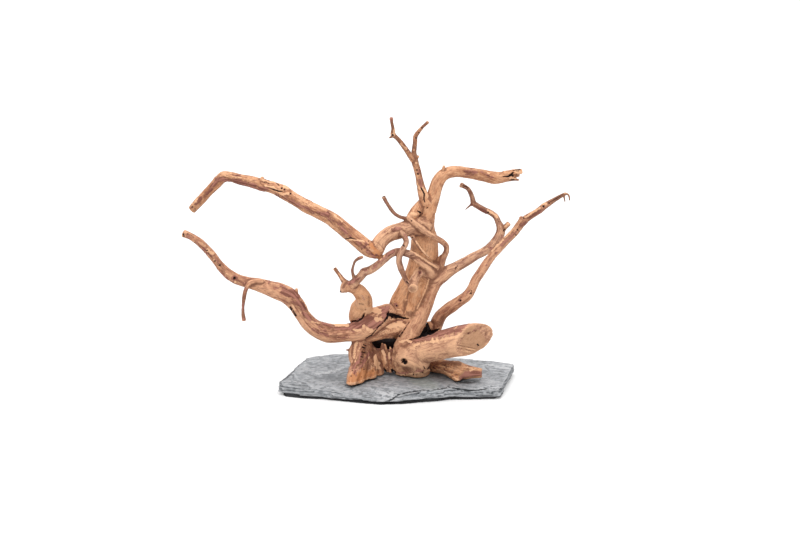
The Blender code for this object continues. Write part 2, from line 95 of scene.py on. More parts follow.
@dataclass(frozen=True)
class Sheet:
    """The drawing sheet that leans back with the front view.

    A place on it is given by across, up and depth behind the middle plane.
    """

    tilt_deg: float = 15.0
    distance: float = 3200.0
    middle_across: float = 4.0
    middle_up: float = 133.5
    floor_up: float = 12.7

    @property
    def lean(self) -> tuple[float, float]:
        """Sine and cosine of the view's downward tilt."""
        tilt = math.radians(self.tilt_deg)
        return math.sin(tilt), math.cos(tilt)

    @property
    def middle_height(self) -> float:
        """Height of the view's middle above the ground, in millimetres."""
        return (self.middle_up - self.floor_up) / self.lean[1]

    def point(self, across: float, up: float, depth: float) -> np.ndarray:
        """World place, in millimetres, of a point drawn on the sheet.

        Args:
            across: distance to the right of the sheet's zero line.
            up: distance up the sheet.
            depth: distance behind the middle plane.

        Returns:
            The place as an array of three numbers.
        """
        sine, cosine = self.lean
        rise = up - self.middle_up
        nearer = 1.0 + depth * cosine / self.distance
        height = (rise * nearer - depth * sine) / (cosine + rise * sine / self.distance)
        away = depth * cosine - height * sine
        x = self.middle_across + across * (1.0 + away / self.distance)
        return np.array((x, depth, self.middle_height + height))

    def flatten(self, places: np.ndarray) -> np.ndarray:
        """Across and up on the sheet for places in millimetres.

        Args:
            places: N by 3 array of world places.

        Returns:
            N by 2 array of across and up.
        """
        sine, cosine = self.lean
        height = places[:, 2] - self.middle_height
        away = 1.0 + (places[:, 1] * cosine - height * sine) / self.distance
        across = (places[:, 0] - self.middle_across) / away
        up = (height * cosine + places[:, 1] * sine) / away + self.middle_up
        return np.stack((across, up), axis=1)

    def to_eye(self) -> np.ndarray:
        """Direction from the object to the viewer."""
        sine, cosine = self.lean
        return np.array((0.0, -cosine, sine))


class SmoothNoise:
    """Smooth random values over space, the same on every run."""

    TABLE_SIZE = 8192
    KEYS = (73856093, 19349663, 83492791)
    LAYER_SHIFT = 37.0

    def __init__(self, seed: int) -> None:
        """Fill the table of random values from the seed."""
        self.values = np.random.default_rng(seed).uniform(-1.0, 1.0, self.TABLE_SIZE)

    def at(self, places: np.ndarray, spacing: float | Triple) -> np.ndarray:
        """Noise from -1 to 1 at each place.

        Args:
            places: N by 3 array, in millimetres.
            spacing: size of the noise's lumps, one number or one for each direction.

        Returns:
            N values.
        """
        cells = places / np.asarray(spacing)
        base = np.floor(cells).astype(np.int64)
        part = cells - base
        part = part ** 3 * (part * (6.0 * part - 15.0) + 10.0)
        total = np.zeros(len(places))
        for corner in itertools.product((0, 1), repeat=3):
            first, second, third = ((base + np.array(corner)) * self.KEYS).T
            key = first ^ second ^ third
            share = np.prod(np.where(np.array(corner), part, 1.0 - part), axis=1)
            total += self.values[key % self.TABLE_SIZE] * share
        return total

    def layered(self, places: np.ndarray, spacing: float, layers: int = 3) -> np.ndarray:
        """Noise with finer and fainter layers added to it.

        Args:
            places: N by 3 array, in millimetres.
            spacing: size of the largest lumps.
            layers: how many layers, each half the size of the one before.

        Returns:
            N values.
        """
        total = np.zeros(len(places))
        for layer in range(layers):
            size = 2 ** layer
            total += self.at(places + self.LAYER_SHIFT * layer, spacing / size) / size
        return total


@dataclass(frozen=True)
class Limb:
    """One limb of the root: its route, tone and the height of its lengthwise ridges.

    The route's points are across, up, depth and thickness.
    """

    name: str
    route: Route
    tone: Tone
    ridges: float
    blunt: bool = False


@dataclass(frozen=True)
class SoftArea:
    """Limbs that flow into each other inside a box on the sheet.

    The box is its left, right, lower and upper side.
    """

    names: tuple[str, ...]
    box: tuple[float, float, float, float]
    rounds: int


@dataclass(frozen=True)
class Mark:
    """A place on a surface with its own look, drawn as a stroke on the sheet.

    The stroke's points are across, up and half its width there. Only the side
    that faces the viewer takes it.
    """

    kind: Enum
    stroke: Stroke
    rise: float = 0.0
    ragged: float = 0.7
    soft: float = 0.6
    strength: float = 1.0


Marks = tuple[tuple[tuple[str, ...], tuple[Mark, ...]], ...]


def bark(*stroke: Triple, rise: float = 0.35, ragged: float = 0.9, strength: float = 1.0) -> Mark:
    """A thin patch of dark bark left on the wood."""
    return Mark(Marking.BARK, stroke, rise, ragged, 0.6, strength)


def crack_and_shadow(*stroke: Triple, rise: float = -0.9, ragged: float = 0.2, strength: float = 1.0) -> Mark:
    """Near-black painted shade in cracks, slits, pits and holes, and painted shadow lines in gaps between
    limbs.
    """
    return Mark(Marking.DARK, stroke, rise, ragged, 0.45, strength)


def fleck(*stroke: Triple, rise: float = 0.3, ragged: float = 0.7, strength: float = 1.0) -> Mark:
    """A pale flake or rubbed place."""
    return Mark(Marking.FLECK, stroke, rise, ragged, 0.6, strength)


def brown(*stroke: Triple, ragged: float = 1.3, soft: float = 1.1, strength: float = 0.7) -> Mark:
    """A soft brown stain."""
    return Mark(Marking.BROWN, stroke, 0.0, ragged, soft, strength)


def split(*stroke: Triple, rise: float = -0.8, strength: float = 1.0) -> Mark:
    """A dark line where the slate's layers have split, painted black as the shade in the gap."""
    return Mark(StoneMarking.CRACK_AND_SHADOW, stroke, rise, 0.6, 0.5, strength)


def chip(*stroke: Triple, rise: float = 0.35, strength: float = 0.8) -> Mark:
    """A pale chipped edge."""
    return Mark(StoneMarking.CHIP, stroke, rise, 1.2, 0.8, strength)


def painted_shade(*stroke: Triple, rise: float = -0.4, strength: float = 0.7) -> Mark:
    """A slightly sunken patch painted darker as shade, below steps in the top, under the root and along the
    front edge.
    """
    return Mark(StoneMarking.PAINTED_SHADE, stroke, rise, 1.6, 2.2, strength)


ROOT_LIMBS: tuple[Limb, ...] = (
    Limb("left_branch", (
        (-10, 87, 2, 21), (-22, 81.5, -5, 24), (-32, 75, -12, 23), (-42, 69, -14, 20), (-55, 67, -14, 17.5),
        (-70, 66.5, -14, 19), (-82, 70.5, -16, 18), (-90, 76, -18, 16.5), (-97.5, 85, -20, 15),
        (-103.5, 95, -22, 16), (-112, 104, -24, 18), (-122, 109, -26, 17.5), (-132, 112, -28, 15.5),
        (-142, 115, -30, 13.5), (-152, 117.5, -32, 11), (-162, 120.5, -34, 10.5), (-171, 126, -36, 10),
        (-180, 134.5, -38, 9), (-190, 147.5, -42, 8.5), (-200, 157.5, -46, 7.8), (-209, 163.5, -48, 7.2),
        (-216.6, 166.8, -50, 7.6),
    ), Tone.ROSY, 0.3, True),
    Limb("left_twig", (
        (-138, 119, -34, 4.5), (-148, 118, -37.5, 5), (-153, 113, -39, 4.5), (-155.2, 107, -39.5, 4),
        (-156.3, 100, -40, 3.4), (-157, 92, -40, 3.2), (-156.8, 85, -40, 3.6), (-156, 79.4, -40, 4.4),
    ), Tone.ROSY, 0.18, True),
    Limb("left_branch_spur", ((-104, 103, -24, 6), (-103.5, 111.2, -25, 2.6)), Tone.TAN, 0.1),
    Limb("back_trunk", (
        (-2, 84, 8, 25), (3, 97, 8, 26), (11.5, 112, 8, 27), (19, 128, 8, 27.5), (24, 145, 6, 29),
        (24.5, 160, 5, 27), (24.5, 174, 4, 20), (26.5, 187, 3, 17.5), (28, 197, 2, 16),
    ), Tone.GOLDEN, 0.16),
    Limb("shoulder", ((22, 197, 1, 9), (16.5, 190, -3, 11), (11, 182, -9, 10)), Tone.TAN, 0.3),
    Limb("top_stem", (
        (26, 197, 0, 13), (23, 205, 0, 9.5), (21, 213, 1, 8), (19, 222, 1, 7.4), (17, 231, 2, 7),
        (14.5, 240, 2, 7.2), (14, 248, 3, 5), (15, 257, 3, 4.4), (15.3, 263.5, 4, 5), (19, 269, 4, 4.6),
        (23, 273.5, 5, 4), (28.4, 278.4, 6, 3.8),
    ), Tone.TAN, 0.25, True),
    Limb("top_stem_bud", ((16.5, 242, 2, 3.4), (18.4, 243.6, 1, 2.6)), Tone.TAN, 0.0),
    Limb("top_stem_tine", (
        (-6.5, 264.5, -11, 3.2), (-9, 263, -11.5, 2), (-10.6, 262, -12, 1.5),
    ), Tone.PALE, 0.0),
    Limb("top_stem_left", (
        (13, 240, 1, 6), (9.5, 245.5, -2, 5.6), (5.5, 251, -5, 5.2), (0.5, 258, -8, 4.4), (-4, 263, -10, 4.2),
        (-7, 265.5, -11, 5.4), (-7, 271, -12, 3.8), (-8.2, 277, -14, 3.2), (-8.7, 282.2, -15, 3.9),
    ), Tone.TAN, 0.2, True),
    Limb("right_arm", (
        (29, 190, 2, 15), (32.5, 200, 3, 13.5), (35, 210, 5, 13), (38, 218, 8, 13), (43, 224.5, 10, 12.5),
        (49, 227.5, 13, 12), (56, 228.4, 16, 11.5), (65, 227.4, 20, 11.3), (75, 226, 25, 11.5),
        (85, 224.2, 30, 12), (95, 222, 34, 12.3), (103, 222.7, 38, 11.2), (109, 224.2, 40.5, 9.4),
    ), Tone.TAN, 0.22),
    Limb("arm_splinter_top", (
        (104, 225, 38, 8), (111, 226.5, 41, 7.6), (117, 228.3, 43, 6.4), (121.8, 228.6, 44.5, 5.4),
    ), Tone.GOLDEN, 0.4, True),
    Limb("arm_splinter_middle", (
        (108, 224, 40, 5), (114, 224.2, 42, 4.4), (119.6, 224.6, 43.5, 3.4),
    ), Tone.GOLDEN, 0.3, True),
    Limb("arm_splinter_low", (
        (98, 220.5, 35, 7), (106, 220.4, 38.5, 5), (112, 220.6, 40, 3.4), (119.4, 219.9, 41.5, 2.2),
    ), Tone.TAN, 0.2, True),
    Limb("right_arm_spur", ((43, 228, 9, 5), (44, 234.4, 8, 2.4)), Tone.GOLDEN, 0.1),
    Limb("left_limb", (
        (24, 174, 0, 20), (14, 174, -8, 18), (4, 170.5, -16, 16.5), (-6, 167.5, -24, 15.5),
        (-14, 163.5, -30, 15), (-20, 157.5, -34, 15), (-23, 150.5, -35, 15), (-24, 145, -35, 12),
    ), Tone.PALE, 0.3),
    Limb("upper_left_arm", (
        (-22.5, 148, -36, 14.5), (-30, 150.5, -36, 16), (-40, 158, -33, 15), (-50, 166, -29, 14.5),
        (-60, 174, -24, 14.5), (-70, 182, -19, 14), (-80, 187, -13, 12.8), (-90, 192, -7, 13),
        (-100, 197.5, -1, 13), (-110, 203.5, 5, 12.8), (-119, 209, 10, 13.5), (-130, 213, 16, 11.5),
        (-140, 216, 22, 11.5), (-150, 219, 27, 11.3), (-160, 221, 32, 10.5), (-170, 223.3, 37, 10.4),
        (-177, 222.7, 40, 11), (-187, 213, 42, 10), (-196.5, 203, 43, 9.5), (-208.4, 190.2, 44, 8.4),
    ), Tone.TAN, 0.32, True),
    Limb("upper_left_nub", ((-138, 217, 20, 7), (-137.6, 222.4, 19, 3.2)), Tone.TAN, 0.1),
    Limb("curl_twig", (
        (11, 180, -12, 5), (5, 181.7, -15, 3.8), (0, 183, -18, 3.4), (-5, 186, -20, 3.3),
        (-9, 190.5, -21, 3.3), (-13, 196.5, -21, 3.3), (-16.8, 203.6, -20, 3.8),
    ), Tone.GREY, 0.15, True),
    Limb("front_loop", (
        (8, 183, -16, 5), (14, 177, -17, 6), (21, 171.5, -14, 7), (28, 166.5, -12, 6), (35, 162.5, -10, 6),
        (41, 159.2, -8, 6), (46, 154.5, -6, 6), (46.3, 149, -5, 6), (43.7, 143, -4, 6), (42, 137, -3, 6.5),
        (40, 131, -2, 8),
    ), Tone.PALE, 0.2),
    Limb("loop_web", ((42, 144.5, -2, 4), (40.5, 139, -1, 8), (39, 132, 0, 9)), Tone.TAN, 0.2),
    Limb("needle_twig", (
        (11.5, 164, -18, 4), (15, 159.5, -21, 2.8), (18.5, 153.5, -23, 2.8), (23.5, 148, -24, 2.6),
        (29, 142.5, -24, 2.4),
    ), Tone.PALE, 0.1),
    Limb("antler", (
        (38, 131, -2, 9), (30, 134, -13, 8.4), (23, 138, -20, 8), (15, 143, -26, 7.6), (7, 146.8, -31, 7.2),
        (-2, 148.4, -35, 7), (-9, 146, -38, 7.4), (-16, 140.5, -40, 7.6), (-23, 134.5, -41, 8),
        (-30, 129.7, -40, 8.2), (-35.5, 128, -39, 8.4), (-40.5, 122.5, -38, 8.4), (-46, 117, -37, 9.5),
        (-52, 112.5, -37, 9.5), (-56.5, 109.7, -38, 6), (-59.5, 108.4, -38, 3),
    ), Tone.GREY, 0.3),
    Limb("antler_web", (
        (12, 142.5, -29, 4), (19, 138.5, -27, 6), (25, 133.5, -23, 8), (28.5, 129, -17, 9), (31, 126, -9, 10),
    ), Tone.PALE, 0.1),
    Limb("prong", (
        (-51, 115, -36, 8), (-56, 119, -34, 5.6), (-60, 124.5, -31, 4.2), (-63, 128.5, -28, 3.8),
        (-65.4, 132, -26, 4),
    ), Tone.GOLDEN, 0.2, True),
    Limb("prong_web", ((-55, 118, -35, 5), (-57.5, 113.5, -37, 4.6), (-58, 109.5, -38, 4)), Tone.GREY, 0.1),
    Limb("wisp_twig", (
        (-45.5, 121, -38, 4.5), (-46.7, 124.5, -40, 3.6), (-47.7, 129, -41, 3.2), (-46.7, 134, -42, 3),
        (-45, 138.7, -43, 3), (-41.7, 141.3, -43.5, 3), (-37.5, 143, -44, 2.6),
    ), Tone.GREY, 0.15),
    Limb("rising_stub", (
        (-40, 80, 2, 22), (-40, 84, 2, 23.5), (-38.5, 91, -6, 22.5), (-36, 97, -14, 17),
        (-37, 103, -22, 15.5), (-40.5, 108.5, -29, 14.5), (-46, 112, -33, 12), (-51, 112.5, -37, 9.5),
    ), Tone.GOLDEN, 0.14),
    Limb("hook_twig", (
        (-1, 169, -26, 6), (3.5, 164.5, -29, 5.8), (6.3, 159, -33, 5.4), (4.5, 153.5, -36.5, 5.4),
        (1, 147.5, -39, 5.8), (-1, 141, -40, 6), (0, 134, -39, 6), (3, 126.5, -38, 5.4), (6.5, 119.5, -38, 5),
        (10, 115, -40, 5),
    ), Tone.GREY, 0.2),
    Limb("forward_stub", (
        (32, 127, -6, 12), (26, 128.5, -14, 10.5), (20.5, 128.5, -22, 9.5), (16, 123, -29, 8.5),
        (13.2, 116.5, -36, 9), (12.6, 110.8, -42.5, 9.8),
    ), Tone.PALE, 0.2, True),
    Limb("front_trunk", (
        (4, 52, -10, 22), (8, 62, -10, 19), (13, 72, -8, 18), (19, 82, -6, 18), (23.5, 92, -5, 17),
        (27, 102, -4, 16.5), (31, 112, -3, 16.5), (36, 121, -1, 17), (43, 127.5, 1, 14),
    ), Tone.ROSY, 0.2),
    Limb("trunk_web", (
        (8, 66, -2, 18), (12, 84, -1, 19), (17, 100, -1.5, 21), (22, 116, -1.5, 23), (28, 130, -1, 22),
    ), Tone.GOLDEN, 0.16),
    Limb("right_limb", (
        (36, 121, -1, 17), (47, 128, 2, 13.5), (57, 133.5, 6, 11), (67, 139.2, 10, 9.6), (77, 144.8, 14, 8.7),
        (87, 150.2, 18, 8.4), (94, 156.5, 21, 9.2), (99, 164, 23, 9.4), (100.5, 171, 25, 9),
        (98, 178, 27, 6.4), (95.5, 183.5, 28, 6.2), (90, 187.7, 30, 6.4), (84, 190.3, 31, 6),
        (78, 193.6, 32, 5.8), (73.5, 196.7, 33, 6.2), (72.5, 201.5, 33, 5), (70.7, 206.5, 34, 4.8),
        (68, 211.2, 34, 4.6), (64.5, 213.4, 34, 4.6), (60.8, 215.2, 33, 5.2),
    ), Tone.GREY, 0.25, True),
    Limb("right_limb_stub", (
        (102, 170.5, 25, 6.5), (105.5, 173.5, 23, 4.6), (109, 176.8, 22, 4.8),
    ), Tone.TAN, 0.1, True),
    Limb("right_limb_spur", (
        (72, 196, 33, 3.2), (68.5, 193.2, 33, 2), (65.3, 190.2, 33, 1.6),
    ), Tone.TAN, 0.0),
    Limb("right_branch", (
        (16, 54, 6, 16), (26, 61, 12, 15), (33, 68, 14, 14), (36, 75, 12, 13.5), (39, 81.5, 9, 13),
        (44, 88, 6, 12), (52, 93.7, 3, 11.6), (60, 99.2, 0, 11.2), (67.5, 104.7, -3, 11),
        (72, 111.5, -5, 9.8), (75.5, 120, -7, 9.4), (81, 128.2, -8, 9.2), (87, 137.2, -9, 9),
        (93, 145, -10, 8.6), (100, 153, -12, 8.4), (107, 160.2, -15, 8), (114, 167.2, -18, 8),
        (119, 174, -21, 8.2), (123, 178.7, -24, 8), (130, 183.7, -28, 6.8), (138, 189, -33, 6.5),
        (145, 194.2, -38, 6.2), (153, 199.2, -43, 4.8), (160, 203.4, -48, 3.8), (165.4, 206.2, -52, 3.2),
    ), Tone.ROSY, 0.25, True),
    Limb("right_branch_bump", ((121, 178, -23, 6), (121, 183, -23, 3)), Tone.TAN, 0.1),
    Limb("right_tip_rootlet", (
        (164.5, 206.3, -52, 2.3), (167.8, 206, -53, 2), (169.4, 203, -54, 1.8), (169.4, 199.6, -54.5, 1.7),
    ), Tone.GREY, 0.0),
    Limb("right_tip_fork", (
        (163.6, 205, -51, 2.2), (164.4, 201.5, -52, 1.8), (165, 197.8, -52.5, 1.7),
    ), Tone.GREY, 0.0),
    Limb("bar", (
        (-34, 61, -10, 8), (-24, 65, -8, 12), (-14, 69.5, -6, 15), (-3, 72.5, -5, 15.5), (9, 74, -5, 13),
    ), Tone.TAN, 0.25),
    Limb("crotch_web", ((16, 60, 2, 15), (22, 66, 5, 12), (27, 71, 6, 10), (30, 76, 7, 8)), Tone.TAN, 0.2),
    Limb("cavity_back", (
        (-35, 59, 3, 16), (-28, 57, 15, 16), (-18, 56, 24, 17), (-6, 56, 25, 19), (4, 58, 20, 22),
    ), Tone.TAN, 0.3),
    Limb("fold_spike_left", ((-19, 48, -4, 5), (-18, 53, -5, 3), (-17.6, 56.5, -5, 2)), Tone.TAN, 0.2),
    Limb("fold_spike_middle", ((-14, 48, -5, 5), (-14.6, 52.5, -6, 3), (-15.4, 55.6, -6, 2)), Tone.TAN, 0.2),
    Limb("fold_spike_right", ((-9, 47, -7, 5), (-9.4, 50.5, -8, 3), (-9.8, 53, -8, 2)), Tone.TAN, 0.2),
    Limb("base_knob", (
        (4, 54, -9, 20), (3, 44, -10, 25), (4, 37, -5, 26), (7.5, 31, 2, 27.5), (11, 23, 8, 30),
    ), Tone.TAN, 0.16),
    Limb("base_lip", (
        (16, 45, -18, 23), (17, 37, -14, 24), (18, 29, -5, 24), (18.5, 20, 2, 23),
    ), Tone.PALE, 0.12),
    Limb("base_front", ((3, 45, -14, 24), (14, 42.5, -18, 24), (24, 39.5, -17, 22)), Tone.PALE, 0.12),
    Limb("foot_bridge", ((-24, 45, 0, 14), (-12, 43, 2, 15), (0, 42, 4, 18)), Tone.TAN, 0.3),
    Limb("foot_fold_left", (
        (-17, 48, -3, 9), (-14, 40, -5, 9), (-13, 33, -5, 8), (-13, 29.5, -5, 5),
    ), Tone.TAN, 0.3),
    Limb("foot_fold_right", (
        (-8, 49, -6, 8), (-7.5, 42, -8, 10), (-8, 35, -7, 9), (-10, 29, -6, 5),
    ), Tone.TAN, 0.3),
    Limb("left_toe_outer", (
        (-41, 66, -10, 14), (-42, 56, -13, 13.5), (-42.8, 47, -17, 12.5), (-42.6, 38, -22, 12.5),
        (-45, 29, -29, 14), (-47.4, 21, -35, 13.5), (-48.6, 13, -39, 10.5),
    ), Tone.ROSY, 0.3),
    Limb("left_toe_middle", (
        (-36, 60, -6, 16), (-35, 48, -6, 16), (-35, 38, -9, 18), (-36, 28, -14, 18), (-38, 20, -20, 16),
        (-39, 12, -24, 15),
    ), Tone.TAN, 0.35),
    Limb("left_toe_inner", (
        (-31, 50, 0, 13), (-27, 44, 0, 15), (-24, 36, 1, 16), (-23.5, 28, -2, 16), (-23.5, 20, -4, 15.5),
    ), Tone.TAN, 0.35),
    Limb("toe_web_outer", (
        (-40, 44, -15, 14), (-41, 32, -22, 16), (-42.5, 20, -30, 15), (-42, 10, -33, 12),
    ), Tone.TAN, 0.3),
    Limb("toe_web_inner", (
        (-29, 44, -3, 14), (-30, 32, -8, 16), (-31, 20, -15, 16), (-32, 10, -20, 14),
    ), Tone.TAN, 0.3),
    Limb("left_toe_flare", (
        (-44, 57, -14, 7), (-48, 50, -17, 7), (-48.6, 43, -21, 6), (-46, 36, -26, 7),
    ), Tone.PALE, 0.3),
    Limb("left_toe_spur", ((-48, 50.5, -17, 4), (-54, 50, -17, 1.8)), Tone.TAN, 0.0),
    Limb("right_foot", (
        (20, 38, 8, 16), (32, 35, 6, 15), (42, 33.5, -2, 15), (50, 31.5, -10, 17), (57, 29.5, -17, 20),
        (64, 28.2, -19, 16), (72, 27.8, -20, 12), (81.6, 27, -21, 8.8),
    ), Tone.GOLDEN, 0.5, True),
    Limb("right_foot_point", ((52, 35, -12, 12), (56, 27, -20, 12), (57.6, 18, -26, 8)), Tone.GOLDEN, 0.4),
    Limb("back_foot", ((2, 76, 12, 20), (4, 60, 26, 20), (7, 48, 40, 19), (9, 34, 54, 17)), Tone.TAN, 0.5),
)

BIG_LOG = Limb("big_log", (
    (0, 52, -8, 19), (8, 48, -12, 23), (20, 49.5, -18, 26), (33, 52.5, -23, 28), (47, 56.2, -27, 29.5),
    (60, 59, -31, 31), (74, 61, -34, 31.5), (92, 61.5, -37, 29.5), (112, 64, -42, 28),
), Tone.PALE, 0.2)

